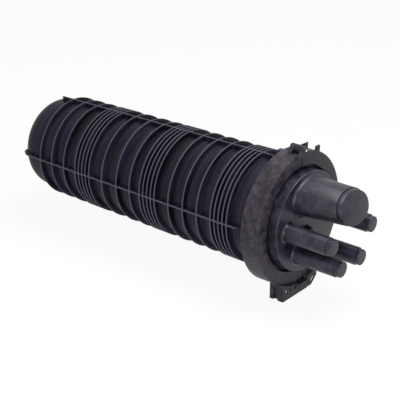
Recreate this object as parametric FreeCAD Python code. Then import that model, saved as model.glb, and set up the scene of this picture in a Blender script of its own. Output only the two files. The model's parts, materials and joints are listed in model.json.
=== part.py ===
"""Dome splice closure for fibre cable: ribbed dome, ported base, hinged clamp ring and splice trays.

Everything is built about the closure's own axis, which is X with the ports at +X. Station 0 is the last
close rib of the dome. Each piece is moved once, when it is written, so that the latch block stands on
Z = 0 and the closure is centred over the origin. Sizes are in millimetres, +Z is up.
"""

import FreeCAD, Part
import math
import os

V = FreeCAD.Vector
ORIGIN = V(0, 0, 0)
AXIS = V(1, 0, 0)
QUARTER = 90.0
OVERCUT = 1.0

# Dome
DOME_WALL_R = 91.5
DOME_TAPER = 0.0125
DOME_WALL = 4.0
RIB_HEIGHT = 8.5
RIB_THICKNESS = 2.8
RIB_GROUPS = (0.0, -159.8, -317.5)
RIBS_IN_GROUP = 5
RIB_PITCH = 8.7
SINGLE_RIBS = (-64.7, -95.6, -127.8, -218.2, -250.1, -285.6, -381.6, -412.7, -442.6)
END_START = -470.0
END_DEPTH = 52.0
END_CORNER_R = 36.0
FIN_COUNT = 4
FIN_THICKNESS = 3.0
FIN_DROP = 0.3
FIN_SINK = 2.0
FIN_FRONT = 27.0
FIN_BACK = -499.0
FIN_NOSE = 4.0
KEY_X = 37.0
KEY_LENGTH = 8.0
KEY_WIDTH = 8.0
KEY_TOP_R = 108.0

# Flanges and seal
FLANGE_R = 109.0
DOME_FACE = 58.3
FLANGE_GAP = 1.7
FLANGE_TIP = 8.4
FLANGE_ROOT = 12.0
SEAL_R = 95.5
SEAL_WIDTH = 6.0
SEAL_HEIGHT = 6.0
SEAL_SIDE_GAP = 0.3

# Base
BASE_R = 87.7
BASE_FRONT = 95.0
BASE_PLATE = 6.0
SPIGOT_LENGTH = 26.0
SPIGOT_GAP = 1.4
SPIGOT_WALL = 5.15
SHELF_HALF_WIDTH = 20.0
SHELF_TOP = -66.0
SHELF_THICKNESS = 6.0
SHELF_LENGTH = 26.0

# Round ports
PORT_CIRCLE_R = 58.0
PORT_ANGLES = (-90.0, -30.0, 30.0, 90.0)
PORT_R = 15.5
PORT_WALL = 3.5
PORT_END = 186.5
PORT_CAP = 6.0
PORT_CAP_R = 13.7
PORT_GROOVE = 2.5
PORT_GROOVE_R = 12.8
PORT_ROOT_FLARE = 2.2
PORT_ROOT_LENGTH = 4.0

# Oval port
OVAL_TIP_HALF_WIDTH = 42.0
OVAL_TIP_HALF_HEIGHT = 29.0
OVAL_DRAFT = 4.0
OVAL_SIDE_R = 23.0
OVAL_ROOT_Z = 46.5
OVAL_TIP_Z = 50.0
OVAL_END = 186.0
OVAL_LEAN = 0.32
OVAL_WALL = 4.0

# Air valve
VALVE_Z = -14.0
VALVE_R = 6.5
VALVE_STEM_R = 4.0
VALVE_PROUD = 9.0
VALVE_NUT = 4.0

# Clamp ring
CLAMP_WALL = 7.6
CLAMP_REAR = 43.0
CLAMP_FRONT = 79.5
CLAMP_LIP_GAP = 5.5
CLAMP_EDGE = 1.8
CLAMP_CLEARANCE = 0.3
CLAMP_SPLIT = 2.0

# Clamp hinge, at the top
HINGE_RISE = 7.3
HINGE_R = 6.5
HINGE_REAR = 58.0
HINGE_FRONT = 87.0
HINGE_OUTER_KNUCKLE = 8.0
HINGE_PIN_R = 2.5
HINGE_PIN_PROUD = 0.6
KNUCKLE_GAP = 0.4
PIN_CLEARANCE = 0.1
LEAF_SPREAD = 11.0
LEAF_SINK = 4.0
LEAF_OUTER_SHARE = 0.95
LEAF_INNER_SHARE = 0.9
EAR_Y = (42.0, 53.0)
EAR_DROP = 0.7
EAR_HEIGHT = 12.5
EAR_THICKNESS = 4.0
REAR_EAR_X = (45.0, 55.0)
REAR_EAR_SLOPE = 5.9

# Latch, at the bottom; its rises are heights over the surface that the block stands on
LATCH_DROP = 19.3
LATCH_REAR = 58.0
LATCH_FRONT = 86.0
BLOCK_LEFT = -51.0
BLOCK_RIGHT = -8.5
BLOCK_ROOT = 17.2
BLOCK_GROOVE_X = 65.5
BLOCK_GROOVE = 9.0
BLOCK_GROOVE_DEPTH = 4.0
BLOCK_GROOVE_RISE = 24.5
BLOCK_SINK = 2.0
TIE_HOLE_R = 3.3
TIE_HOLE_Y = -40.0
TIE_HOLE_RISE = 16.5
POCKET_SPANS = ((-31.5, -28.5), (-19.0, -11.5))
POCKET_RISE = 12.5
POCKET_DEPTH = 4.0
CHEEK_THICKNESS = 6.0
CHEEK_RIGHT = 19.5
CHEEK_RISE = 15.0
CHEEK_GAP = 1.0
LATCH_PIN_R = 2.5
LATCH_PIVOT_Y = -2.0
LATCH_PIVOT_RISE = 9.0
HOOK_BOSS_R = 5.0
HOOK_BOTTOM_RISE = 2.5
HOOK_TOP_RISE = 14.0
HOOK_TIP_Y = 31.5
HOOK_NOTCH_GAP = 0.4
HOOK_NOTCH_SWING = 1.6
HOOK_BEVEL = 1.5
HOOK_NOSE = 5.0
KEEPER_Y = 25.0
KEEPER_RISE = 10.0
LUG_LEFT = 20.5
LUG_BEND_Y = 33.0
LUG_BOTTOM_RISE = 1.0
LUG_RIGHT = 48.2
LUG_RIGHT_RISE = 15.0
LUG_THICKNESS = 6.5
LUG_ROOT_DEPTH = 16.2
BRIDGE_RISE = 17.5
LUG_SLOT_Y = (37.6, 33.5)
LUG_SLOT_RISE = (13.8, 8.5)
LUG_SLOT_R = 2.4

# Tray bracket
BRACKET_SHEET = 2.5
BRACKET_END_GAP = 1.0
BRACKET_TONGUE_HALF = 15.0
BRACKET_RISER_X = 30.0
BRACKET_TOP = -30.0
BRACKET_HALF_WIDTH = 50.0
BRACKET_BACK = -400.0
SCREW_R = 2.5
SCREW_HEAD_R = 4.6
SCREW_HEAD_SIDES = 6
SCREW_HEAD = 3.0
SCREW_LENGTH = 7.0
BRACKET_SCREW_X = (70.0, 82.0)

# Trays
TRAY_COUNT = 4
TRAY_PITCH = 13.0
TRAY_HEIGHT = 12.0
TRAY_FRONT = -34.0
TRAY_LENGTH = 300.0
TRAY_HALF_WIDTH = 60.0
TRAY_CORNER = 30.0
TRAY_WALL = 2.0
TRAY_DRUM_R = 22.0
TRAY_DRUM_HEIGHT = 6.0
TRAY_HINGE_X = -24.0
TRAY_HINGE_RISE = 6.0
TRAY_PIN_R = 2.0
TRAY_EAR_HALF_SPAN = 34.0
TRAY_EAR_WIDTH = 6.0
TRAY_EAR_R = 4.5
TRAY_SEAT = 0.3
HINGE_BLOCK_SIDE_GAP = 0.5
HINGE_BLOCK_LENGTH = 12.0
HINGE_BLOCK_OVER = 5.0
COVER_THICKNESS = 1.6
HOLDER_LENGTH = 52.0
HOLDER_HALF_WIDTH = 14.0
HOLDER_HEIGHT = 7.0
HOLDER_SLOTS = 5
HOLDER_SLOT_WIDTH = 3.0
HOLDER_SLOT_DEPTH = 4.0
STRAP_X = -180.0
STRAP_WIDTH = 24.0
STRAP_THICKNESS = 1.2
STRAP_GAP = 0.3

# Slack basket
BASKET_FRONT = -210.0
BASKET_BACK = -388.0
BASKET_HALF_WIDTH = 46.0
BASKET_BOTTOM = -60.0
BASKET_WALL = 2.0

# Strength member clamps
ANCHOR_CIRCLE_R = 33.0
ANCHOR_HALF = 7.0
ANCHOR_SHEET = 2.0
ANCHOR_ARM = 18.0

# Places that follow from the sizes above
BASE_FACE = DOME_FACE + FLANGE_GAP
SEAL_GROOVE_DEPTH = SEAL_HEIGHT - FLANGE_GAP
OVAL_REACH = OVAL_END + OVAL_LEAN * (OVAL_TIP_HALF_HEIGHT - (PORT_R - PORT_CAP_R))
DOME_END = END_START - END_DEPTH
CLAMP_GROOVE_R = FLANGE_R + 2 * CLAMP_CLEARANCE
CLAMP_R = CLAMP_GROOVE_R + CLAMP_WALL
CLAMP_REAR_LIP_R = DOME_WALL_R + CLAMP_LIP_GAP
CLAMP_FRONT_LIP_R = BASE_R + CLAMP_LIP_GAP
HINGE_Z = CLAMP_R + HINGE_RISE
EAR_TOP = CLAMP_R - EAR_DROP
EAR_ROOT = EAR_TOP - EAR_HEIGHT
REAR_EAR_LOW = EAR_TOP - REAR_EAR_SLOPE
STAND = CLAMP_R + LATCH_DROP
BLOCK_TOP = BLOCK_ROOT - CLAMP_R
BLOCK_GROOVE_TOP = BLOCK_GROOVE_RISE - STAND
TIE_HOLE_Z = TIE_HOLE_RISE - STAND
POCKET_BOTTOM = POCKET_RISE - STAND
CHEEK_TOP = CHEEK_RISE - STAND
LATCH_PIVOT_Z = LATCH_PIVOT_RISE - STAND
HOOK_BOTTOM = HOOK_BOTTOM_RISE - STAND
HOOK_TOP = HOOK_TOP_RISE - STAND
KEEPER_Z = KEEPER_RISE - STAND
LUG_BOTTOM = LUG_BOTTOM_RISE - STAND
LUG_RIGHT_Z = LUG_RIGHT_RISE - STAND
LUG_ROOT = LUG_ROOT_DEPTH - CLAMP_R
LUG_SLOT = [(y, rise - STAND) for y, rise in zip(LUG_SLOT_Y, LUG_SLOT_RISE)]
BRIDGE_BOTTOM = BRIDGE_RISE - STAND
SHIFT = V(-(OVAL_REACH + DOME_END) / 2, 0, STAND)
PLATE_INNER = BASE_FRONT - BASE_PLATE


def wall_r(x):
    """Outer radius of the dome's wall at a station."""
    return DOME_WALL_R + DOME_TAPER * x


def end_arcs():
    """Corner radius and cap radius of the rounded end, tangent to the wall and to each other."""
    rim = wall_r(END_START)
    corner = END_CORNER_R
    cap = (END_DEPTH ** 2 + (rim - corner) ** 2 - corner ** 2) / (2 * (END_DEPTH - corner))
    return corner, cap


def end_join():
    """Centres of the corner arc and of the cap, and the direction from the cap's centre to their join."""
    corner, cap = end_arcs()
    corner_centre = V(END_START, 0, wall_r(END_START) - corner)
    cap_centre = V(DOME_END + cap, 0, 0)
    return corner_centre, cap_centre, (corner_centre - cap_centre).normalize()


def end_r(x):
    """Radius of the rounded dome end at a station."""
    corner, cap = end_arcs()
    corner_centre, cap_centre, way = end_join()
    if x > (cap_centre + way * cap).x:
        return corner_centre.z + math.sqrt(corner ** 2 - (x - END_START) ** 2)
    return math.sqrt(cap ** 2 - (x - cap_centre.x) ** 2)


def polygon(points):
    """Face from corner points."""
    return Part.Face(Part.makePolygon(points + [points[0]]))


def turned(profile):
    """Solid turned about the axis from (station, radius) corners."""
    return polygon([V(x, 0, r) for x, r in profile]).revolve(ORIGIN, AXIS, 360)


def slab(outline, x0, x1):
    """Plate between two stations from (y, z) corners."""
    return polygon([V(x0, y, z) for y, z in outline]).extrude(V(x1 - x0, 0, 0))


def rod(radius, x0, x1, y=0.0, z=0.0):
    """Cylinder along the axis between two stations."""
    return Part.makeCylinder(radius, x1 - x0, V(x0, y, z), AXIS)


def block(x0, x1, y0, y1, z0, z1):
    """Box between opposite corners."""
    return Part.makeBox(x1 - x0, y1 - y0, z1 - z0, V(x0, y0, z0))


def turned_place(radius, angle):
    """Point (y, z) on a circle, with the angle measured from straight down towards +Y."""
    a = math.radians(angle)
    return radius * math.sin(a), -radius * math.cos(a)


def rib_stations():
    """All ring ribs, from the mouth to the dome end."""
    close = [last - i * RIB_PITCH for last in RIB_GROUPS for i in range(RIBS_IN_GROUP)]
    return sorted(close + list(SINGLE_RIBS), reverse=True)


def end_points(inset):
    """Points along the rounded end, or along the surface inset from it: rim, corner, join, cap, tip."""
    corner, cap = end_arcs()
    corner_centre, cap_centre, way = end_join()
    half_corner = (way + V(0, 0, 1)).normalize()
    half_cap = (way + V(-1, 0, 0)).normalize()
    return [V(END_START, 0, wall_r(END_START) - inset), corner_centre + half_corner * (corner - inset),
            cap_centre + way * (cap - inset), cap_centre + half_cap * (cap - inset),
            V(DOME_END + inset, 0, 0)]


def dome_shell():
    """Wall, ring ribs and flange, turned in one profile: arcs outside the end, chords inside it."""
    outer = [(DOME_FACE, FLANGE_R), (DOME_FACE - FLANGE_TIP, FLANGE_R)]
    bay = DOME_FACE - FLANGE_ROOT
    for x in rib_stations():
        front = x + RIB_THICKNESS / 2
        floor, top = wall_r(bay), wall_r(x) + RIB_HEIGHT
        outer += [(bay, floor), (front, floor), (front, top)]
        bay = x - RIB_THICKNESS / 2
        outer.append((bay, top))
    outer.append((bay, wall_r(END_START)))
    mouth = V(DOME_FACE, 0, wall_r(DOME_FACE) - DOME_WALL)
    rim, corner, join, cap, tip = end_points(0.0)
    inner = end_points(DOME_WALL)
    edges = Part.makePolygon([mouth] + [V(x, 0, r) for x, r in outer] + [rim]).Edges
    edges += [Part.Arc(rim, corner, join).toShape(), Part.Arc(join, cap, tip).toShape()]
    edges += Part.makePolygon([tip, inner[4], inner[2], inner[1], inner[0], mouth]).Edges
    return Part.Face(Part.Wire(edges)).revolve(ORIGIN, AXIS, 360)


def dome_fin(runs_on):
    """One long fin, standing up, sunk a little into the wall; it may run on over the rounded end."""
    top = RIB_HEIGHT - FIN_DROP
    outline = [(FIN_FRONT, wall_r(FIN_FRONT) - FIN_SINK), (FIN_FRONT, wall_r(FIN_FRONT) + FIN_SINK)]
    outline += [(FIN_FRONT - RIB_HEIGHT, wall_r(FIN_FRONT) + top), (END_START, wall_r(END_START) + top)]
    if runs_on:
        middle = (END_START + FIN_BACK) / 2
        nose = FIN_BACK + FIN_NOSE
        outline += [(middle, end_r(middle) + top), (nose, end_r(nose) + top)]
        outline += [(FIN_BACK, end_r(FIN_BACK) + FIN_NOSE), (FIN_BACK, end_r(FIN_BACK) - FIN_SINK)]
        outline.append((middle, end_r(middle) - FIN_SINK))
    outline.append((END_START, wall_r(END_START) - FIN_SINK))
    half = FIN_THICKNESS / 2
    return polygon([V(x, -half, r) for x, r in outline]).extrude(V(0, FIN_THICKNESS, 0))


def dome():
    """Ribbed dome with its four fins and the key in front of the top fin, which stops at the rounded end."""
    extra = []
    for i in range(FIN_COUNT):
        fin = dome_fin(i > 0)
        fin.rotate(ORIGIN, AXIS, 360.0 * i / FIN_COUNT)
        extra.append(fin)
    key_x = KEY_X - KEY_LENGTH / 2
    key_bottom = wall_r(KEY_X) - FIN_SINK
    half = KEY_WIDTH / 2
    extra.append(block(key_x, key_x + KEY_LENGTH, -half, half, key_bottom, KEY_TOP_R))
    return dome_shell().fuse(extra)


def oval_form(x0, x1, inset):
    """Drafted oval rod that rises towards its tip, smaller by an inset all round: four cone sectors."""
    side = OVAL_SIDE_R - inset
    offset = OVAL_TIP_HALF_WIDTH - OVAL_SIDE_R
    rise = OVAL_TIP_HALF_HEIGHT - OVAL_SIDE_R
    drop = (offset ** 2 - rise ** 2) / (2 * rise)
    flat = OVAL_TIP_HALF_HEIGHT + drop - inset
    spread = math.degrees(math.atan2(offset, drop))
    length = OVAL_END - BASE_FRONT
    low, high = OVAL_DRAFT * (OVAL_END - x0) / length, OVAL_DRAFT * (OVAL_END - x1) / length
    sectors = []
    rest = QUARTER - spread
    for radius, y, z, turn, half in ((side, offset, 0, 0, rest), (flat, 0, -drop, 1, spread),
                                     (side, -offset, 0, 2, rest), (flat, 0, drop, 3, spread)):
        sector = Part.makeCone(radius + low, radius + high, x1 - x0, ORIGIN, AXIS, 2 * half)
        sector.rotate(ORIGIN, AXIS, (turn - 1) * QUARTER - half)
        sector.translate(V(x0, y, OVAL_TIP_Z + z))
        sectors.append(sector)
    form = sectors[0].fuse(sectors[1:]).removeSplitter()
    climb = math.degrees(math.atan2(OVAL_TIP_Z - OVAL_ROOT_Z, length))
    form.rotate(V(OVAL_END, 0, OVAL_TIP_Z), V(0, 1, 0), -climb)
    return form


def leaning_slab(behind_end, thickness):
    """Wide slab that leans like the oval port's end face and starts a distance behind it."""
    reach = 3 * OVAL_TIP_HALF_WIDTH
    body = block(-behind_end, -behind_end + thickness, -reach, reach, -reach, reach)
    body.rotate(ORIGIN, V(0, 1, 0), -math.degrees(math.atan(OVAL_LEAN)))
    body.translate(V(OVAL_END, 0, OVAL_TIP_Z))
    return body


def oval_port():
    """Oval port with its leaning end face and end groove."""
    beyond = OVAL_REACH + OVAL_TIP_HALF_WIDTH
    body = oval_form(PLATE_INNER + BASE_PLATE / 2, beyond, 0.0)
    body = body.cut(leaning_slab(0.0, beyond))
    cap = leaning_slab(PORT_CAP, PORT_CAP + beyond)
    body = body.cut(cap.cut(oval_form(PLATE_INNER, beyond, PORT_R - PORT_CAP_R)))
    groove = leaning_slab(PORT_CAP + PORT_GROOVE, PORT_GROOVE)
    return body.cut(groove.cut(oval_form(PLATE_INNER, beyond, PORT_R - PORT_GROOVE_R)))


def round_port(angle):
    """Blind round port with a grooved end cap and a flared root."""
    y, z = turned_place(PORT_CIRCLE_R, angle)
    groove_front = PORT_END - PORT_CAP
    groove_back = groove_front - PORT_GROOVE
    body = rod(PORT_R, PLATE_INNER, groove_back, y, z)
    neck = rod(PORT_GROOVE_R, groove_back, groove_front, y, z)
    cap = rod(PORT_CAP_R, groove_front, PORT_END, y, z)
    flare = Part.makeCone(PORT_R + PORT_ROOT_FLARE, PORT_R, PORT_ROOT_LENGTH, V(BASE_FRONT, y, z), AXIS)
    return body.fuse([neck, cap, flare])


def stadium(x0, x1, ends, radius):
    """Long hole between two stations, round at its two (y, z) ends."""
    (y0, z0), (y1, z1) = ends
    length = math.hypot(y1 - y0, z1 - z0)
    side_y, side_z = -(z1 - z0) / length * radius, (y1 - y0) / length * radius
    corners = [(y0 + side_y, z0 + side_z), (y1 + side_y, z1 + side_z)]
    corners += [(y1 - side_y, z1 - side_z), (y0 - side_y, z0 - side_z)]
    return slab(corners, x0, x1).fuse([rod(radius, x0, x1, y0, z0), rod(radius, x0, x1, y1, z1)])


def base():
    """Base with its port plate, spigot, flange, seal groove, ports and bracket shelf."""
    spigot_r = wall_r(BASE_FACE) - DOME_WALL - SPIGOT_GAP
    spigot_end = BASE_FACE - SPIGOT_LENGTH
    bore_r = spigot_r - SPIGOT_WALL
    tip = BASE_FACE + FLANGE_TIP
    root = BASE_FACE + FLANGE_ROOT
    profile = [(spigot_end, bore_r), (spigot_end, spigot_r), (BASE_FACE, spigot_r), (BASE_FACE, FLANGE_R)]
    profile += [(tip, FLANGE_R), (root, BASE_R), (BASE_FRONT, BASE_R)]
    profile += [(BASE_FRONT, 0), (PLATE_INNER, 0), (PLATE_INNER, bore_r)]
    body = turned(profile)
    half = SEAL_WIDTH / 2 + SEAL_SIDE_GAP
    groove_end = BASE_FACE + SEAL_GROOVE_DEPTH
    groove = rod(SEAL_R + half, BASE_FACE, groove_end).cut(rod(SEAL_R - half, BASE_FACE, groove_end))
    body = body.cut(groove)
    body = body.fuse([round_port(a) for a in PORT_ANGLES] + [oval_port()])
    bores = [oval_form(PLATE_INNER - OVERCUT, OVAL_END - 3 * PORT_CAP, OVAL_WALL)]
    for angle in PORT_ANGLES:
        y, z = turned_place(PORT_CIRCLE_R, angle)
        bore_end = PORT_END - PORT_CAP - PORT_GROOVE - PORT_WALL
        bores.append(rod(PORT_R - PORT_WALL, PLATE_INNER - OVERCUT, bore_end, y, z))
    bores.append(rod(VALVE_STEM_R, PLATE_INNER - OVERCUT, BASE_FRONT + OVERCUT, 0, VALVE_Z))
    for angle in PORT_ANGLES:
        y, z = turned_place(ANCHOR_CIRCLE_R, angle)
        bores.append(rod(SCREW_R, PLATE_INNER - OVERCUT, PLATE_INNER + SCREW_LENGTH - ANCHOR_SHEET, y, z))
    body = body.cut(bores)
    shelf_bottom = SHELF_TOP - SHELF_THICKNESS
    shelf = block(PLATE_INNER - SHELF_LENGTH, PLATE_INNER + OVERCUT, -SHELF_HALF_WIDTH, SHELF_HALF_WIDTH,
                  -bore_r - OVERCUT, SHELF_TOP)
    body = body.fuse(shelf.common(rod(bore_r + OVERCUT, BASE_FACE, BASE_FRONT - OVERCUT)))
    holes = [Part.makeCylinder(SCREW_R, SHELF_THICKNESS, V(x, 0, shelf_bottom)) for x in BRACKET_SCREW_X]
    return body.cut(holes)


def base_seal():
    """Square-section rubber seal in the base's face groove, pressed by the dome's face."""
    half = SEAL_WIDTH / 2
    return rod(SEAL_R + half, DOME_FACE, DOME_FACE + SEAL_HEIGHT).cut(
        rod(SEAL_R - half, DOME_FACE, DOME_FACE + SEAL_HEIGHT))


def air_valve():
    """Test valve: stem through the port plate, nut face and cap."""
    stem = rod(VALVE_STEM_R, PLATE_INNER - VALVE_NUT, BASE_FRONT, 0, VALVE_Z)
    cap = rod(VALVE_R, BASE_FRONT, BASE_FRONT + VALVE_PROUD, 0, VALVE_Z)
    nut = rod(VALVE_R, PLATE_INNER - VALVE_NUT, PLATE_INNER, 0, VALVE_Z)
    return stem.fuse([cap, nut])


def groove_flank(face, sense):
    """Two (station, radius) corners of the clamp's groove beside a flange, top first."""
    lip_r = CLAMP_FRONT_LIP_R if sense > 0 else CLAMP_REAR_LIP_R
    root_r = BASE_R if sense > 0 else wall_r(DOME_FACE - FLANGE_ROOT)
    slope = (FLANGE_ROOT - FLANGE_TIP) / (FLANGE_R - root_r)
    corners = []
    for r in (CLAMP_GROOVE_R, lip_r):
        reach = FLANGE_TIP + slope * (FLANGE_R - r) + CLAMP_CLEARANCE
        corners.append((face + sense * reach, r))
    return corners


def clamp_ring():
    """Whole clamp ring with its wedge groove."""
    front = groove_flank(BASE_FACE, 1)
    rear = groove_flank(DOME_FACE, -1)
    profile = [(CLAMP_REAR, CLAMP_REAR_LIP_R), (CLAMP_REAR, CLAMP_R - CLAMP_EDGE)]
    profile += [(CLAMP_REAR + CLAMP_EDGE, CLAMP_R), (CLAMP_FRONT - CLAMP_EDGE, CLAMP_R)]
    profile += [(CLAMP_FRONT, CLAMP_R - CLAMP_EDGE), (CLAMP_FRONT, CLAMP_FRONT_LIP_R)]
    profile += [front[1], front[0], rear[0], rear[1]]
    return turned(profile)


def clamp_half(side):
    """Half of the clamp ring, on the side of +Y or -Y."""
    wide = 2 * CLAMP_R
    y0, y1 = sorted((side * CLAMP_SPLIT / 2, side * wide))
    return clamp_ring().common(block(CLAMP_REAR - OVERCUT, CLAMP_FRONT + OVERCUT, y0, y1, -wide, wide))


def knuckle(side, x0, x1):
    """Hinge knuckle with the leaf that joins it to its half."""
    inner = side * CLAMP_SPLIT / 2
    low = CLAMP_R - LEAF_SINK
    leaf = [(side * HINGE_R * LEAF_OUTER_SHARE, HINGE_Z), (side * (HINGE_R + LEAF_SPREAD), low), (inner, low)]
    leaf.append((inner, HINGE_Z - HINGE_R * LEAF_INNER_SHARE))
    return slab(leaf, x0, x1).fuse(rod(HINGE_R, x0, x1, 0, HINGE_Z))


def outside_ring(body):
    """A body with everything inside the clamp ring's outer surface taken away, but for a shallow root."""
    root = rod(CLAMP_R - BLOCK_SINK, CLAMP_REAR, CLAMP_FRONT - BLOCK_SINK)
    return body.cut([root, rod(CLAMP_R, CLAMP_FRONT, LATCH_FRONT + OVERCUT)])


def clamp_left_half():
    """Left half: outer hinge knuckles, and the latch block with its tie hole and two cheeks."""
    spans = [(HINGE_REAR, HINGE_REAR + HINGE_OUTER_KNUCKLE), (HINGE_FRONT - HINGE_OUTER_KNUCKLE, HINGE_FRONT)]
    body = clamp_half(-1).fuse([knuckle(-1, x0, x1) for x0, x1 in spans])
    blocks = [block(LATCH_REAR, LATCH_FRONT, BLOCK_LEFT, BLOCK_RIGHT, -STAND, BLOCK_TOP)]
    for x0 in (LATCH_REAR, LATCH_FRONT - CHEEK_THICKNESS):
        blocks.append(block(x0, x0 + CHEEK_THICKNESS, BLOCK_RIGHT, CHEEK_RIGHT, -STAND, CHEEK_TOP))
    body = body.fuse(outside_ring(blocks[0].fuse(blocks[1:])))
    groove = block(BLOCK_GROOVE_X, BLOCK_GROOVE_X + BLOCK_GROOVE, BLOCK_LEFT - OVERCUT,
                   BLOCK_LEFT + BLOCK_GROOVE_DEPTH, -STAND - OVERCUT, BLOCK_GROOVE_TOP)
    pockets = [block(LATCH_FRONT - POCKET_DEPTH, LATCH_FRONT + OVERCUT, y0, y1, POCKET_BOTTOM, BLOCK_TOP)
               for y0, y1 in POCKET_SPANS]
    hole = rod(TIE_HOLE_R, LATCH_REAR - OVERCUT, LATCH_FRONT + OVERCUT, TIE_HOLE_Y, TIE_HOLE_Z)
    pivot = rod(LATCH_PIN_R, LATCH_REAR - OVERCUT, LATCH_FRONT + OVERCUT, LATCH_PIVOT_Y, LATCH_PIVOT_Z)
    pin_hole = rod(HINGE_PIN_R, HINGE_REAR - OVERCUT, HINGE_FRONT + OVERCUT, 0, HINGE_Z)
    return body.cut([groove, hole, pivot, pin_hole] + pockets)


def keeper_lug(x0):
    """Lug of the right half that holds one end of the keeper pin, with a slanted lower edge."""
    outline = [(LUG_LEFT, LUG_ROOT), (LUG_LEFT, LUG_BOTTOM), (LUG_BEND_Y, LUG_BOTTOM)]
    outline += [(LUG_RIGHT, LUG_RIGHT_Z), (LUG_RIGHT, LUG_ROOT)]
    return slab(outline, x0, x0 + LUG_THICKNESS)


def clamp_right_half():
    """Right half: middle hinge knuckle, two upright ears and two keeper lugs."""
    x0 = HINGE_REAR + HINGE_OUTER_KNUCKLE + KNUCKLE_GAP
    x1 = HINGE_FRONT - HINGE_OUTER_KNUCKLE - KNUCKLE_GAP
    adds = [knuckle(1, x0, x1)]
    adds.append(block(CLAMP_FRONT - EAR_THICKNESS, CLAMP_FRONT, EAR_Y[0], EAR_Y[1], EAR_ROOT, EAR_TOP))
    rear_ear = [(REAR_EAR_X[0], EAR_ROOT), (REAR_EAR_X[0], REAR_EAR_LOW), (REAR_EAR_X[1], EAR_TOP)]
    rear_ear.append((REAR_EAR_X[1], EAR_ROOT))
    adds.append(polygon([V(x, EAR_Y[0], z) for x, z in rear_ear]).extrude(V(0, EAR_Y[1] - EAR_Y[0], 0)))
    lugs = keeper_lug(LATCH_REAR).fuse(keeper_lug(LATCH_FRONT - LUG_THICKNESS))
    bridge = block(CLAMP_FRONT - 2 * BLOCK_SINK, LATCH_FRONT, LUG_LEFT, LUG_RIGHT, BRIDGE_BOTTOM, LUG_ROOT)
    adds.append(outside_ring(lugs.fuse(bridge)))
    body = clamp_half(1).fuse(adds)
    hinge_hole = rod(HINGE_PIN_R + PIN_CLEARANCE, HINGE_REAR, HINGE_FRONT, 0, HINGE_Z)
    keeper = rod(LATCH_PIN_R, LATCH_REAR - OVERCUT, LATCH_FRONT + OVERCUT, KEEPER_Y, KEEPER_Z)
    lug_slot = stadium(LATCH_REAR - OVERCUT, LATCH_FRONT + OVERCUT, LUG_SLOT, LUG_SLOT_R)
    return body.cut([hinge_hole, keeper, lug_slot])


def clamp_hinge_pin():
    """Steel hinge pin, a little proud of the knuckles."""
    return rod(HINGE_PIN_R, HINGE_REAR - HINGE_PIN_PROUD, HINGE_FRONT + HINGE_PIN_PROUD, 0, HINGE_Z)


def latch_hook():
    """Hook between the cheeks: boss on the latch pin, arm, and a notch open upwards for the keeper pin."""
    x0 = LATCH_REAR + CHEEK_THICKNESS + CHEEK_GAP
    x1 = LATCH_FRONT - CHEEK_THICKNESS - CHEEK_GAP
    half_notch = LATCH_PIN_R + HOOK_NOTCH_GAP
    outline = [(LATCH_PIVOT_Y, LATCH_PIVOT_Z + HOOK_BOSS_R), (LATCH_PIVOT_Y, LATCH_PIVOT_Z - HOOK_BOSS_R)]
    outline += [(LATCH_PIVOT_Y + HOOK_NOSE, HOOK_BOTTOM), (HOOK_TIP_Y - HOOK_NOSE, HOOK_BOTTOM)]
    outline += [(HOOK_TIP_Y, HOOK_BOTTOM + HOOK_NOSE), (HOOK_TIP_Y, HOOK_TOP - HOOK_BEVEL)]
    outline.append((HOOK_TIP_Y - HOOK_BEVEL, HOOK_TOP))
    body = slab(outline, x0, x1).fuse(rod(HOOK_BOSS_R, x0, x1, LATCH_PIVOT_Y, LATCH_PIVOT_Z))
    notch_left = KEEPER_Y - half_notch - HOOK_NOTCH_SWING
    notch = block(x0 - OVERCUT, x1 + OVERCUT, notch_left, KEEPER_Y + half_notch, KEEPER_Z, HOOK_TOP + OVERCUT)
    seat = rod(half_notch, x0 - OVERCUT, x1 + OVERCUT, KEEPER_Y, KEEPER_Z)
    pivot = rod(LATCH_PIN_R + PIN_CLEARANCE, x0 - OVERCUT, x1 + OVERCUT, LATCH_PIVOT_Y, LATCH_PIVOT_Z)
    return body.cut([notch, seat, pivot])


def latch_pin():
    """Pin through the cheeks and the hook."""
    return rod(LATCH_PIN_R, LATCH_REAR, LATCH_FRONT, LATCH_PIVOT_Y, LATCH_PIVOT_Z)


def keeper_pin():
    """Pin across the keeper lugs, which the hook catches."""
    return rod(LATCH_PIN_R, LATCH_REAR, LATCH_FRONT, KEEPER_Y, KEEPER_Z)


def tray_bracket():
    """Steel carrier: tongue on the base's shelf, riser and tray plate."""
    tongue_z = SHELF_TOP + BRACKET_SHEET
    tongue_half = BRACKET_TONGUE_HALF
    tongue = block(BRACKET_RISER_X, PLATE_INNER - BRACKET_END_GAP, -tongue_half, tongue_half,
                   SHELF_TOP, tongue_z)
    riser = block(BRACKET_RISER_X, BRACKET_RISER_X + BRACKET_SHEET, -tongue_half, tongue_half,
                  SHELF_TOP, BRACKET_TOP)
    plate_low = BRACKET_TOP - BRACKET_SHEET
    neck = block(TRAY_HINGE_X, BRACKET_RISER_X + OVERCUT, -tongue_half, tongue_half, plate_low, BRACKET_TOP)
    plate = block(BRACKET_BACK, 0, -BRACKET_HALF_WIDTH, BRACKET_HALF_WIDTH, plate_low, BRACKET_TOP)
    body = tongue.fuse([riser, neck, plate])
    holes = [Part.makeCylinder(SCREW_R, 2 * BRACKET_SHEET, V(x, 0, SHELF_TOP - OVERCUT))
             for x in BRACKET_SCREW_X]
    return body.cut(holes)


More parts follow.
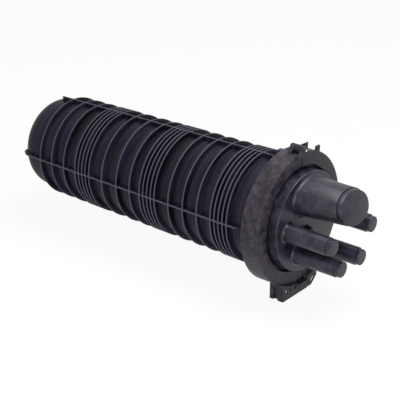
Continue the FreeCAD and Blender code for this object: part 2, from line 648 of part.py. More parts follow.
def screw(place, direction, grip):
    """Hexagon head screw whose head sits on a place and whose shank points along a direction."""
    shank = Part.makeCylinder(SCREW_R, grip, place, direction)
    turn = 2 * math.pi / SCREW_HEAD_SIDES
    corners = [V(SCREW_HEAD_R * math.cos(i * turn), SCREW_HEAD_R * math.sin(i * turn), 0)
               for i in range(SCREW_HEAD_SIDES)]
    head = polygon(corners).extrude(V(0, 0, -SCREW_HEAD))
    head.Placement = FreeCAD.Placement(place, FreeCAD.Rotation(V(0, 0, 1), direction))
    return shank.fuse(head)


def bracket_screws():
    """Screws down through the tongue into the shelf."""
    z = SHELF_TOP + BRACKET_SHEET
    return Part.makeCompound([screw(V(x, 0, z), V(0, 0, -1), SCREW_LENGTH) for x in BRACKET_SCREW_X])


def tray_floor(index):
    """Height of a tray's underside."""
    return BRACKET_TOP + TRAY_SEAT + index * TRAY_PITCH


def tray_hinge_block():
    """Upright block between the trays' ears that carries their pins."""
    x0 = TRAY_HINGE_X - HINGE_BLOCK_LENGTH / 2
    x1 = TRAY_HINGE_X + HINGE_BLOCK_LENGTH / 2
    half = TRAY_EAR_HALF_SPAN - TRAY_EAR_WIDTH - HINGE_BLOCK_SIDE_GAP
    top = tray_floor(TRAY_COUNT - 1) + TRAY_HINGE_RISE + HINGE_BLOCK_OVER
    body = block(x0, x1, -half, half, BRACKET_TOP, top)
    return body.cut([tray_pin(i) for i in range(TRAY_COUNT)])


def tray_pin(index):
    """Hinge pin of one tray, across the block."""
    z = tray_floor(index) + TRAY_HINGE_RISE
    half = TRAY_EAR_HALF_SPAN
    return Part.makeCylinder(TRAY_PIN_R, 2 * half, V(TRAY_HINGE_X, -half, z), V(0, 1, 0))


def tray_hinge_pins():
    """All the tray pins."""
    return Part.makeCompound([tray_pin(i) for i in range(TRAY_COUNT)])


def rounded_slab(x0, x1, half_width, corner, z0, z1):
    """Plate with rounded upright corners."""
    body = block(x0, x1, -half_width, half_width, z0, z1)
    upright = [e for e in body.Edges if abs(e.Vertexes[0].Z - e.Vertexes[1].Z) > (z1 - z0) / 2]
    return body.makeFillet(corner, upright)


def splice_tray(index):
    """Tray with a rim, two fibre drums and hinge ears."""
    z0 = tray_floor(index)
    back = TRAY_FRONT - TRAY_LENGTH
    shell = rounded_slab(back, TRAY_FRONT, TRAY_HALF_WIDTH, TRAY_CORNER, z0, z0 + TRAY_HEIGHT)
    pocket = rounded_slab(back + TRAY_WALL, TRAY_FRONT - TRAY_WALL, TRAY_HALF_WIDTH - TRAY_WALL,
                          TRAY_CORNER - TRAY_WALL, z0 + TRAY_WALL, z0 + TRAY_HEIGHT + OVERCUT)
    body = shell.cut(pocket)
    adds = []
    for x in (TRAY_FRONT - TRAY_HALF_WIDTH, back + TRAY_HALF_WIDTH):
        adds.append(Part.makeCylinder(TRAY_DRUM_R, TRAY_DRUM_HEIGHT, V(x, 0, z0 + TRAY_WALL / 2)))
    for side in (-1, 1):
        y0, y1 = sorted((side * TRAY_EAR_HALF_SPAN, side * (TRAY_EAR_HALF_SPAN - TRAY_EAR_WIDTH)))
        z = z0 + TRAY_HINGE_RISE
        eye = Part.makeCylinder(TRAY_EAR_R, TRAY_EAR_WIDTH, V(TRAY_HINGE_X, y0, z), V(0, 1, 0))
        arm = block(TRAY_FRONT - TRAY_WALL / 2, TRAY_HINGE_X, y0, y1, z - TRAY_EAR_R / 2, z + TRAY_EAR_R / 2)
        adds.append(eye.fuse(arm))
    return body.fuse(adds).cut(tray_pin(index))


def splice_holder(index):
    """Comb block that grips the splices, on the tray's floor between the drums."""
    z0 = tray_floor(index) + TRAY_WALL
    middle = TRAY_FRONT - TRAY_LENGTH / 2
    half = HOLDER_HALF_WIDTH
    body = block(middle - HOLDER_LENGTH / 2, middle + HOLDER_LENGTH / 2, -half, half, z0, z0 + HOLDER_HEIGHT)
    pitch = 2 * half / HOLDER_SLOTS
    cuts = []
    for i in range(HOLDER_SLOTS):
        y = -half + (i + 0.5) * pitch - HOLDER_SLOT_WIDTH / 2
        top = z0 + HOLDER_HEIGHT
        cuts.append(block(middle - HOLDER_LENGTH, middle + HOLDER_LENGTH, y, y + HOLDER_SLOT_WIDTH,
                          top - HOLDER_SLOT_DEPTH, top + OVERCUT))
    return body.cut(cuts)


def stack_top():
    """Height of the top tray's rim."""
    return tray_floor(TRAY_COUNT - 1) + TRAY_HEIGHT


def tray_cover():
    """Flat lid on the top tray's rim."""
    return rounded_slab(TRAY_FRONT - TRAY_LENGTH, TRAY_FRONT, TRAY_HALF_WIDTH, TRAY_CORNER,
                        stack_top(), stack_top() + COVER_THICKNESS)


def tray_strap():
    """Closed strap round the bracket plate, the trays and the cover."""
    half = TRAY_HALF_WIDTH + STRAP_GAP
    low = BRACKET_TOP - BRACKET_SHEET
    high = stack_top() + COVER_THICKNESS
    t = STRAP_THICKNESS
    outer = block(STRAP_X, STRAP_X + STRAP_WIDTH, -half - t, half + t, low - t, high + t)
    return outer.cut(block(STRAP_X, STRAP_X + STRAP_WIDTH, -half, half, low, high))


def slack_basket():
    """Open basket under the back of the bracket plate."""
    half = BASKET_HALF_WIDTH
    wall = BASKET_WALL
    top = BRACKET_TOP - BRACKET_SHEET
    body = block(BASKET_BACK, BASKET_FRONT, -half, half, BASKET_BOTTOM, top)
    return body.cut(block(BASKET_BACK + wall, BASKET_FRONT + OVERCUT, -half + wall, half - wall,
                          BASKET_BOTTOM + wall, top + OVERCUT))


def strength_clamp(angle):
    """Angle piece on the port plate's inside that holds a cable's strength member."""
    y, z = turned_place(ANCHOR_CIRCLE_R, angle)
    half = ANCHOR_HALF
    foot = block(PLATE_INNER - ANCHOR_SHEET, PLATE_INNER, y - half, y + half, z - half, z + half)
    arm = block(PLATE_INNER - ANCHOR_ARM, PLATE_INNER, y - half, y + half, z + half - ANCHOR_SHEET, z + half)
    hole = rod(SCREW_R, PLATE_INNER - ANCHOR_ARM, PLATE_INNER, y, z)
    return foot.fuse(arm).cut(hole)


def strength_clamp_screws():
    """One screw through each angle piece into the port plate."""
    screws = []
    for angle in PORT_ANGLES:
        y, z = turned_place(ANCHOR_CIRCLE_R, angle)
        screws.append(screw(V(PLATE_INNER - ANCHOR_SHEET, y, z), AXIS, SCREW_LENGTH))
    return Part.makeCompound(screws)


def write(name, shape):
    """Move a piece to its place and write it."""
    placed = shape.copy()
    placed.translate(SHIFT)
    placed.exportStep("parts/%s.step" % name)
    print("%-24s solids %d  volume %.1f cm3  valid %s"
          % (name, len(placed.Solids), placed.Volume / 1000, placed.isValid()))


def main():
    """Build and write every piece."""
    os.makedirs("parts", exist_ok=True)
    write("dome", dome())
    write("base", base())
    write("base_seal", base_seal())
    write("air_valve", air_valve())
    write("clamp_left_half", clamp_left_half())
    write("clamp_right_half", clamp_right_half())
    write("clamp_hinge_pin", clamp_hinge_pin())
    write("latch_hook", latch_hook())
    write("latch_pin", latch_pin())
    write("keeper_pin", keeper_pin())
    write("tray_bracket", tray_bracket())
    write("bracket_screws", bracket_screws())
    write("tray_hinge_block", tray_hinge_block())
    write("tray_hinge_pins", tray_hinge_pins())
    for index in range(TRAY_COUNT):
        write("splice_tray_%d" % (index + 1), splice_tray(index))
        write("splice_holder_%d" % (index + 1), splice_holder(index))
    write("tray_cover", tray_cover())
    write("tray_strap", tray_strap())
    write("slack_basket", slack_basket())
    for number, angle in enumerate(PORT_ANGLES, 1):
        write("strength_clamp_%d" % number, strength_clamp(angle))
    write("strength_clamp_screws", strength_clamp_screws())
    print("shift", SHIFT)


main()
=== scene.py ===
"""Dome splice closure: moulded shells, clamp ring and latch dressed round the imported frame.

Shapes are built in millimetres about the closure's own axis, which is X with the ports at +X and
station 0 at the last close rib, and are then seated in the frame, in metres.
"""
from __future__ import annotations

import json
import logging
import math
from dataclasses import dataclass
from enum import Enum

import bmesh
import bpy
from mathutils import Matrix, Vector

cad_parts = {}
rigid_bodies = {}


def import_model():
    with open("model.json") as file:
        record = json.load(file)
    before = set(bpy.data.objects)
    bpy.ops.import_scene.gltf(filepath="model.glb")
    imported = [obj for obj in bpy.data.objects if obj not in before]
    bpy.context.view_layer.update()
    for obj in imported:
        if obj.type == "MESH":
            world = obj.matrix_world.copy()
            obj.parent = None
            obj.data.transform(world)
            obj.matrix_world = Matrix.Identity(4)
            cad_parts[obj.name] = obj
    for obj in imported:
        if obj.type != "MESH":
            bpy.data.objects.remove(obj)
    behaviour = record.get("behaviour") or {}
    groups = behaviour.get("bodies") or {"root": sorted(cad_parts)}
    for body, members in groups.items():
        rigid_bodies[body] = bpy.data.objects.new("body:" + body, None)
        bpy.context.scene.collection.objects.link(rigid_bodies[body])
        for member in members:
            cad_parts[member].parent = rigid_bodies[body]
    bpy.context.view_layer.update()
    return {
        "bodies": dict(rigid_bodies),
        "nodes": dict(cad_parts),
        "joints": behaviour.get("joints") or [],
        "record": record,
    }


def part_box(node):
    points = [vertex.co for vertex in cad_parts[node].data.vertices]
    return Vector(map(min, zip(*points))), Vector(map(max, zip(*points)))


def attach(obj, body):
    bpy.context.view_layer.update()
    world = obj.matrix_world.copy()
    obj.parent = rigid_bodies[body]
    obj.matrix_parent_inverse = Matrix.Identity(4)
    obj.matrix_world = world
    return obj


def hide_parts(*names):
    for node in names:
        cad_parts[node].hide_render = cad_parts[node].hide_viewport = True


LOG = logging.getLogger("closure")
MM = 0.001
Pair = tuple[float, float]
Triple = tuple[float, float, float]
Profile = list[Pair]

# Height of the clamp's hinge over the closure's axis, in millimetres
HINGE_HEIGHT = 124.5

# Angles in degrees above which an edge shows sharp, on turned forms and on flat-sided ones
ROUND_CREASE = 32.0
FLAT_CREASE = 18.0

# Edges with a turn above this angle in degrees are rounded in this many steps
BEVEL_ANGLE = 35.0
BEVEL_STEPS = 2

# Pins of the latch, which are blackened where the other pins are bright
LATCH_PINS = ("latch_pin", "keeper_pin")


class Body(Enum):
    """Bodies of the frame that the new mouldings ride on."""

    CLOSURE = "closure"
    CLAMP_RIGHT = "clamp_right"


class Side(Enum):
    """Side of the closure that a clamp half lies on, as the sign of Y."""

    LEFT = -1
    RIGHT = 1


def linear(code: str) -> tuple[float, float, float, float]:
    """Turn an sRGB hex colour into linear light.

    Args:
        code: Colour as six hex digits.

    Returns:
        Red, green, blue and alpha.
    """
    parts = [int(code[i:i + 2], 16) / 255 for i in (0, 2, 4)]
    red, green, blue = [c / 12.92 if c <= 0.04045 else ((c + 0.055) / 1.055) ** 2.4 for c in parts]
    return red, green, blue, 1.0


def add_node(tree: bpy.types.NodeTree, kind: str, settings: dict | None = None,
             inputs: dict | None = None) -> bpy.types.Node:
    """Add a node with its settings, and fill or link its inputs.

    Args:
        tree: Node tree that gets the node.
        kind: Node type.
        settings: Attribute names and values.
        inputs: Socket names or numbers, with a value or an output socket each.

    Returns:
        The new node.
    """
    node = tree.nodes.new(kind)
    for name, value in (settings or {}).items():
        setattr(node, name, value)
    for name, value in (inputs or {}).items():
        socket = node.inputs[name]
        if isinstance(value, bpy.types.NodeSocket):
            tree.links.new(value, socket)
        else:
            socket.default_value = value
    return node


def blank_material(name: str) -> bpy.types.Material:
    """Make a material with an empty node tree.

    Args:
        name: Name of the material.

    Returns:
        The new material.
    """
    material = bpy.data.materials.new(name)
    material.use_nodes = True
    material.node_tree.nodes.clear()
    return material


@dataclass(frozen=True)
class MouldedPlastic:
    """Injection-moulded plastic: a fine spark-eroded grain, and dust that greys it in patches.

    The real grain is a fraction of a millimetre and wouldn't show, so it is drawn about 1 mm wide.
    """

    name: str
    colour: str
    dusty: str
    dust: float = 0.35
    roughness: float = 0.42
    gloss: float = 0.5
    grain_mm: float = 0.9
    grain_depth_mm: float = 0.05
    patch_mm: float = 55.0
    stretch: float = 1.0
    seed: float = 0.0
    dust_span: Pair = (0.42, 0.72)
    shade_span: Pair = (0.3, 0.75)
    rough_change: Pair = (-0.06, 0.16)
    bump: float = 0.35
    ior: float = 1.49

    def build(self) -> bpy.types.Material:
        """Build the material's nodes.

        Returns:
            The finished material.
        """
        material = blank_material(self.name)
        tree = material.node_tree
        place = add_node(tree, "ShaderNodeTexCoord").outputs["Object"]
        spot = add_node(tree, "ShaderNodeMapping", inputs={
            "Vector": place, "Location": (self.seed, self.seed, 0),
            "Scale": (1.0, self.stretch, self.stretch)})
        patch = add_node(tree, "ShaderNodeTexNoise", inputs={
            "Vector": spot.outputs[0], "Scale": 1 / (self.patch_mm * MM), "Detail": 6.0, "Roughness": 0.62})
        span = add_node(tree, "ShaderNodeMapRange", inputs={
            "Value": patch.outputs[0], "From Min": self.dust_span[0], "From Max": self.dust_span[1],
            "To Min": 0.0, "To Max": self.dust})
        tint = add_node(tree, "ShaderNodeMix", {"data_type": "RGBA"}, {
            "Factor": span.outputs[0], 6: linear(self.colour), 7: linear(self.dusty)})
        colour = self.paint_highlight(tree, place, tint.outputs[2])
        rough = add_node(tree, "ShaderNodeMapRange", inputs={
            "Value": patch.outputs[0], "From Min": self.shade_span[0], "From Max": self.shade_span[1],
            "To Min": self.roughness + self.rough_change[0],
            "To Max": self.roughness + self.rough_change[1]})
        grain = add_node(tree, "ShaderNodeTexNoise", inputs={
            "Vector": place, "Scale": 1 / (self.grain_mm * MM), "Detail": 3.0, "Roughness": 0.55})
        bump = add_node(tree, "ShaderNodeBump", inputs={
            "Height": grain.outputs[0], "Strength": self.bump, "Distance": self.grain_depth_mm * MM})
        shader = add_node(tree, "ShaderNodeBsdfPrincipled", inputs={
            "Base Color": colour, "Roughness": rough.outputs[0], "Normal": bump.outputs[0],
            "IOR": self.ior, "Specular IOR Level": self.gloss})
        add_node(tree, "ShaderNodeOutputMaterial", inputs={"Surface": shader.outputs[0]})
        return material

    def paint_highlight(self, tree: bpy.types.NodeTree, place: bpy.types.NodeSocket,
            colour: bpy.types.NodeSocket) -> bpy.types.NodeSocket:
        """Return the colour with its painted highlights, of which plain mouldings have none."""
        return colour


@dataclass(frozen=True, kw_only=True)
class RibHighlightPlastic(MouldedPlastic):
    """Moulded plastic with a painted highlight that lightens its rib tops, told by their height over the
    tapered wall.
    """

    # Lighter colour painted onto the rib tops as a highlight, standing for the light they catch
    rib_highlight: str
    axis_z: float
    station_x: float
    wall_radius_mm: float
    taper: float
    # Heights over the wall where the painted highlight begins and where it is full, and its strongest share
    highlight_from_mm: float = 7.0
    highlight_to_mm: float = 8.2
    highlight_share: float = 0.75

    def paint_highlight(self, tree: bpy.types.NodeTree, place: bpy.types.NodeSocket,
            colour: bpy.types.NodeSocket) -> bpy.types.NodeSocket:
        """Mix a lighter shade in where the surface stands high over the wall, as a painted highlight on the
        rib tops.

        Args:
            tree: Node tree of the material.
            place: Object coordinates.
            colour: Colour before rubbing.

        Returns:
            The colour with painted highlights on the rib tops.
        """
        centred = add_node(tree, "ShaderNodeVectorMath", {"operation": "SUBTRACT"}, {
            0: place, 1: (self.station_x, 0.0, self.axis_z)})
        across = add_node(tree, "ShaderNodeVectorMath", {"operation": "MULTIPLY"}, {
            0: centred.outputs[0], 1: (0.0, 1.0, 1.0)})
        radius = add_node(tree, "ShaderNodeVectorMath", {"operation": "LENGTH"}, {0: across.outputs[0]})
        station = add_node(tree, "ShaderNodeSeparateXYZ", inputs={0: centred.outputs[0]})
        wall = add_node(tree, "ShaderNodeMath", {"operation": "MULTIPLY_ADD"}, {
            0: station.outputs[0], 1: self.taper, 2: self.wall_radius_mm * MM})
        height = add_node(tree, "ShaderNodeMath", {"operation": "SUBTRACT"}, {
            0: radius.outputs["Value"], 1: wall.outputs[0]})
        share = add_node(tree, "ShaderNodeMapRange", inputs={
            "Value": height.outputs[0], "From Min": self.highlight_from_mm * MM,
            "From Max": self.highlight_to_mm * MM, "To Min": 0.0, "To Max": self.highlight_share})
        # Painted highlight: the rib tops get the lighter colour mixed in by their height
        mixed = add_node(tree, "ShaderNodeMix", {"data_type": "RGBA"}, {
            "Factor": share.outputs[0], 6: colour, 7: linear(self.rib_highlight)})
        return mixed.outputs[2]


@dataclass(frozen=True)
class DrawnMetal:
    """Plated, blackened or rolled metal: its gloss is drawn out in fine streaks along X.

    The real streaks are hair-fine, so they are drawn coarser to show.
    """

    name: str
    colour: str
    roughness: float = 0.32
    streak_mm: float = 0.7
    streak_depth_mm: float = 0.02
    stretch: float = 0.05
    rough_change: Pair = (-0.08, 0.12)
    bump: float = 0.2

    def build(self) -> bpy.types.Material:
        """Build the material's nodes.

        Returns:
            The finished material.
        """
        material = blank_material(self.name)
        tree = material.node_tree
        place = add_node(tree, "ShaderNodeTexCoord").outputs["Object"]
        drawn = add_node(tree, "ShaderNodeMapping", inputs={
            "Vector": place, "Scale": (self.stretch, 1.0, 1.0)})
        streak = add_node(tree, "ShaderNodeTexNoise", inputs={
            "Vector": drawn.outputs[0], "Scale": 1 / (self.streak_mm * MM), "Detail": 4.0})
        rough = add_node(tree, "ShaderNodeMapRange", inputs={
            "Value": streak.outputs[0], "To Min": self.roughness + self.rough_change[0],
            "To Max": self.roughness + self.rough_change[1]})
        bump = add_node(tree, "ShaderNodeBump", inputs={
            "Height": streak.outputs[0], "Strength": self.bump, "Distance": self.streak_depth_mm * MM})
        shader = add_node(tree, "ShaderNodeBsdfPrincipled", inputs={
            "Base Color": linear(self.colour), "Metallic": 1.0, "Roughness": rough.outputs[0],
            "Normal": bump.outputs[0]})
        add_node(tree, "ShaderNodeOutputMaterial", inputs={"Surface": shader.outputs[0]})
        return material


@dataclass(frozen=True)
class WovenWebbing:
    """Woven polyester webbing: dull, in two close shades of thread, of which the darker stands higher."""

    name: str
    colour: str
    lighter: str = "34343a"
    thread_mm: float = 1.2
    thread_depth_mm: float = 0.3
    roughness: float = 0.85
    bump: float = 0.6

    def build(self) -> bpy.types.Material:
        """Build the material's nodes.

        Returns:
            The finished material.
        """
        material = blank_material(self.name)
        tree = material.node_tree
        place = add_node(tree, "ShaderNodeTexCoord").outputs["Object"]
        weave = add_node(tree, "ShaderNodeTexChecker", inputs={
            "Vector": place, "Scale": 1 / (self.thread_mm * MM), "Color1": linear(self.colour),
            "Color2": linear(self.lighter)})
        bump = add_node(tree, "ShaderNodeBump", inputs={
            "Height": weave.outputs[1], "Strength": self.bump, "Distance": self.thread_depth_mm * MM})
        shader = add_node(tree, "ShaderNodeBsdfPrincipled", inputs={
            "Base Color": weave.outputs[0], "Roughness": self.roughness, "Normal": bump.outputs[0]})
        add_node(tree, "ShaderNodeOutputMaterial", inputs={"Surface": shader.outputs[0]})
        return material


class Finishes:
    """Every finish on the closure, built once."""

    def __init__(self, seat: Seat) -> None:
        """Build all the materials.

        Args:
            seat: Where the closure's frame lies, for the height over the dome's wall.
        """
        # Moulded polypropylene, long in use: matt and almost black, with dust in narrow bands round the
        # dome, and a painted highlight that lightens the rib tops to grey
        self.dome = RibHighlightPlastic(
            "black_polypropylene_dome", "09070e", "2c273b", dust=0.85, roughness=0.46, gloss=0.16,
            patch_mm=7.0, stretch=0.06, seed=1.7, rib_highlight="544e5c", axis_z=seat.shift.z,
            station_x=seat.shift.x, wall_radius_mm=DomeMoulding.wall_radius,
            taper=DomeMoulding.taper).build()
        # The same plastic on the base, with no painted highlight: more sheen, and dust in broader patches
        self.base = MouldedPlastic("black_polypropylene_base", "110e19", "38334a", dust=0.7,
                                   roughness=0.36, gloss=0.42, patch_mm=16.0, seed=4.1).build()
        # Glass-filled nylon: a greyer black, with the coarser grain of the fibres at its surface
        self.clamp = MouldedPlastic("black_glass_filled_nylon", "18151c", "4b434e", dust=0.75,
                                    roughness=0.48, gloss=0.3, grain_mm=1.3, patch_mm=13.0,
                                    seed=7.3).build()
        # Moulded ABS, styrene and silicone inside: light grey satin, pale gloss and dull black. They are
        # closed in at every pose, so the clear cover is drawn opaque
        self.tray = MouldedPlastic("grey_abs_trays", "b9bab6", "a5a6a2", dust=0.4).build()
        self.cover = MouldedPlastic("clear_styrene_cover", "d3d5d2", "c2c4c1", dust=0.3,
                                    roughness=0.2).build()
        self.rubber = MouldedPlastic("silicone_rubber", "17171a", "242427", dust=0.4, roughness=0.7,
                                     grain_mm=0.6).build()
        # Zinc plating is bright, rolled sheet a softer grey, and blackened metal glints only faintly
        self.pin = DrawnMetal("zinc_plated_steel_pins", "c9c6c4").build()
        self.latch_pins = DrawnMetal("blackened_steel_latch_pins", "262429", roughness=0.5).build()
        self.sheet = DrawnMetal("rolled_stainless_sheet", "b4b3b2", roughness=0.38).build()
        self.valve = DrawnMetal("blackened_brass_valve", "2c2a2e", roughness=0.4).build()
        # Woven polyester: dull black with a visible weave
        self.strap = WovenWebbing("black_polyester_webbing", "1a1a1e").build()

    def of_slots(self) -> dict[str, bpy.types.Material]:
        """Return the finish of each material slot in the record.

        Returns:
            Material by the name of its slot.
        """
        return {"steel": self.pin, "sheet_steel": self.sheet, "seal_rubber": self.rubber,
                "tray_plastic": self.tray, "cover_plastic": self.cover, "holder_rubber": self.rubber,
                "strap_fabric": self.strap, "clamp_plastic": self.clamp, "valve_metal": self.valve,
                "dome_plastic": self.dome, "base_plastic": self.base}


@dataclass(frozen=True)
class Seat:
    """Where the closure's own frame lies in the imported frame."""

    shift: Vector

    @classmethod
    def from_frame(cls, frame: dict) -> Seat:
        """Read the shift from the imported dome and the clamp's hinge.


        Returns:
            The seat.
        """
        hinge = next(j for j in frame["joints"] if j["name"] == "clamp_hinge")
        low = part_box("dome")[0]
        tip = DomeMoulding.end_start - DomeMoulding.end_depth
        return cls(Vector((low.x - tip * MM, 0.0, hinge["pos_m"][2] - HINGE_HEIGHT * MM)))

    def matrix(self) -> Matrix:
        """Return the change from millimetres about the axis to the frame."""
        return Matrix.Translation(self.shift) @ Matrix.Scale(MM, 4)


def soften(profile: Profile, radius: float, steps: int = 3) -> Profile:
    """Round the corners of a closed outline.

    Args:
        profile: Corners in order.
        radius: How far along each edge the rounding starts.
        steps: Pieces in each rounding.

    Returns:
        The rounded outline.
    """
    count = len(profile)
    out: Profile = []
    for i, (x, y) in enumerate(profile):
        here = Vector((x, y))
        before, after = Vector(profile[i - 1]) - here, Vector(profile[(i + 1) % count]) - here
        reach = min(radius, before.length / 2, after.length / 2)
        if y <= 0.0 or reach <= 0.0:
            out.append((x, y))
            continue
        start, end = here + before.normalized() * reach, here + after.normalized() * reach
        for k in range(steps + 1):
            t = k / steps
            point = start * (1 - t) ** 2 + here * (2 * t * (1 - t)) + end * t ** 2
            out.append((point.x, point.y))
    return out


def join_rings(form: bmesh.types.BMesh, here: list[bmesh.types.BMVert],
               there: list[bmesh.types.BMVert]) -> None:
    """Close the strip between two rings of vertices.

    Args:
        form: Mesh that gets the faces.
        here: First ring.
        there: Second ring, with as many vertices.
    """
    for k in range(len(here)):
        n = (k + 1) % len(here)
        form.faces.new((here[k], here[n], there[n], there[k]))


def span_sections(form: bmesh.types.BMesh, sections: list[list[Vector | Triple]]) -> None:
    """Add a closed form through sections with equally many points.

    Args:
        form: Mesh that gets the form.
        sections: Points of each section, from one end to the other.
    """
    rings = [[form.verts.new(point) for point in section] for section in sections]
    form.faces.new(rings[0])
    form.faces.new(rings[-1])
    for here, there in zip(rings, rings[1:]):
        join_rings(form, here, there)


def lathe(form: bmesh.types.BMesh, profile: Profile, segments: int, start: float = 0.0,
          sweep: float = 360.0, centre: Pair = (0.0, 0.0)) -> None:
    """Turn a closed (station, radius) outline about an axis along X.

    Args:
        form: Mesh that gets the turned form.
        profile: Closed outline.
        segments: Steps round the sweep.
        start: First angle in degrees, from straight up towards +Y.
        sweep: Angle turned through in degrees.
        centre: Axis position (y, z).
    """
    whole = sweep >= 360.0
    columns = []
    for i in range(segments if whole else segments + 1):
        a = math.radians(start + sweep * i / segments)
        columns.append([form.verts.new((x, centre[0] + r * math.sin(a), centre[1] + r * math.cos(a)))
                        for x, r in profile])
    last = len(columns) if whole else len(columns) - 1
    for i in range(last):
        join_rings(form, columns[i], columns[(i + 1) % len(columns)])
    if not whole:
        form.faces.new(columns[0])
        form.faces.new(columns[-1])


def prism(form: bmesh.types.BMesh, outline: Profile, x0: float, x1: float) -> None:
    """Add a plate between two stations.

    Args:
        form: Mesh that gets the plate.
        outline: Outline of the plate, as (y, z).
        x0: Station of its first face.
        x1: Station of its second face.
    """
    span_sections(form, [[(x, y, z) for y, z in outline] for x in (x0, x1)])


def rectangle(y0: float, y1: float, z0: float, z1: float) -> Profile:
    """Return the four corners of an upright rectangle."""
    return [(y0, z0), (y1, z0), (y1, z1), (y0, z1)]


def circle(centre: Pair, radius: float, count: int = 40) -> Profile:
    """Return points round a circle."""
    turns = [2 * math.pi * i / count for i in range(count)]
    return [(centre[0] + radius * math.cos(t), centre[1] + radius * math.sin(t)) for t in turns]


def stadium(start: Pair, end: Pair, radius: float, count: int = 12) -> Profile:
    """Return the outline of a long hole that is round at both ends.

    Args:
        start: Centre of one end.
        end: Centre of the other end.
        radius: Half the hole's width.
        count: Steps round each end.

    Returns:
        The outline.
    """
    way = math.atan2(end[1] - start[1], end[0] - start[0])
    out: Profile = []
    for centre, turn in ((end, way - math.pi / 2), (start, way + math.pi / 2)):
        for i in range(count + 1):
            a = turn + math.pi * i / count
            out.append((centre[0] + radius * math.cos(a), centre[1] + radius * math.sin(a)))
    return out


def to_object(form: bmesh.types.BMesh, name: str) -> bpy.types.Object:
    """Merge a form's doubles, turn its faces outwards and link it as an object.

    Args:
        form: Form to use up.
        name: Name of the object.

    Returns:
        The linked object.
    """
    bmesh.ops.remove_doubles(form, verts=form.verts, dist=1e-4)
    bmesh.ops.dissolve_degenerate(form, dist=1e-5, edges=form.edges)
    bmesh.ops.recalc_face_normals(form, faces=form.faces)
    mesh = bpy.data.meshes.new(name)
    form.to_mesh(mesh)
    form.free()
    obj = bpy.data.objects.new(name, mesh)
    bpy.context.scene.collection.objects.link(obj)
    return obj


def applied(obj: bpy.types.Object, crease: float = ROUND_CREASE) -> bpy.types.Mesh:
    """Return the mesh of an object with its modifiers applied, and remove the object.

    Args:
        obj: Object to turn into a mesh.
        crease: Angle in degrees above which an edge shows sharp.

    Returns:
        The mesh, shaded smooth between its sharp edges.
    """
    bpy.context.view_layer.update()
    depsgraph = bpy.context.evaluated_depsgraph_get()
    mesh = bpy.data.meshes.new_from_object(obj.evaluated_get(depsgraph))
    bpy.data.objects.remove(obj)
    mesh.shade_smooth()
    mesh.set_sharp_from_angle(angle=math.radians(crease))
    return mesh


def merged(name: str, meshes: list[bpy.types.Mesh]) -> bpy.types.Mesh:
    """Put several meshes together in one.

    Args:
        name: Name of the new mesh.
        meshes: Meshes in the same place.

    Returns:
        The new mesh.
    """
    form = bmesh.new()
    for mesh in meshes:
        form.from_mesh(mesh)
    whole = bpy.data.meshes.new(name)
    form.to_mesh(whole)
    form.free()
    return whole


def pin_place(node: str, seat: Seat) -> Pair:
    """Return where a pin along X lies about the axis, in millimetres.

    Args:
        node: Name of the pin's node.
        seat: Where the closure's frame lies.

    Returns:
        Its place across the axis, as y and z.
    """
    low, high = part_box(node)
    middle = (low + high) / 2 - seat.shift
    return middle.y / MM, middle.z / MM


def cut_and_bevel(form: bmesh.types.BMesh, holes: list[tuple[Profile, float, float]], width: float,
                  name: str) -> bpy.types.Mesh:
    """Cut straight holes along X through a form and round its edges.

    Args:
        form: Form to finish.
        holes: Outline, first and last station of each hole.
        width: Edge rounding in millimetres.
        name: Name for the work object.

    Returns:
        The finished mesh.
    """
    obj = to_object(form, name)
    cutters = []
    for outline, x0, x1 in holes:
        tool = bmesh.new()
        prism(tool, outline, x0, x1)
        cutter = to_object(tool, name + "_hole")
        cutters.append(cutter)
        cut = obj.modifiers.new("hole", "BOOLEAN")
        cut.object = cutter
        cut.solver = "EXACT"
        cut.use_self = True
    bevel = obj.modifiers.new("edges", "BEVEL")
    bevel.width = width
    bevel.segments = BEVEL_STEPS
    bevel.limit_method = "ANGLE"
    bevel.angle_limit = math.radians(BEVEL_ANGLE)
    mesh = applied(obj, FLAT_CREASE)
    for cutter in cutters:
        bpy.data.objects.remove(cutter)
    return mesh


def finished(name: str, meshes: list[bpy.types.Mesh], material: bpy.types.Material, seat: Seat,
             body: Body, replaced: str) -> None:
    """Join the meshes of one moulding, seat them in the frame and hand the piece to its body.

    Args:
        name: Name of the piece.
        meshes: Meshes in millimetres about the axis.
        material: Finish of the piece.
        seat: Where the closure's frame lies.
        body: Body that the piece moves with.
        replaced: Node that the piece stands for.
    """
    mesh = merged(name, meshes)
    mesh.transform(seat.matrix())
    mesh.materials.append(material)
    mesh.polygons.foreach_set("material_index", [0] * len(mesh.polygons))
    mesh.update()
    piece = bpy.data.objects.new(name, mesh)
    bpy.context.scene.collection.objects.link(piece)
    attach(piece, body.value)
    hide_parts(replaced)
    LOG.info("%s: %d faces on %s", name, len(mesh.polygons), body.value)


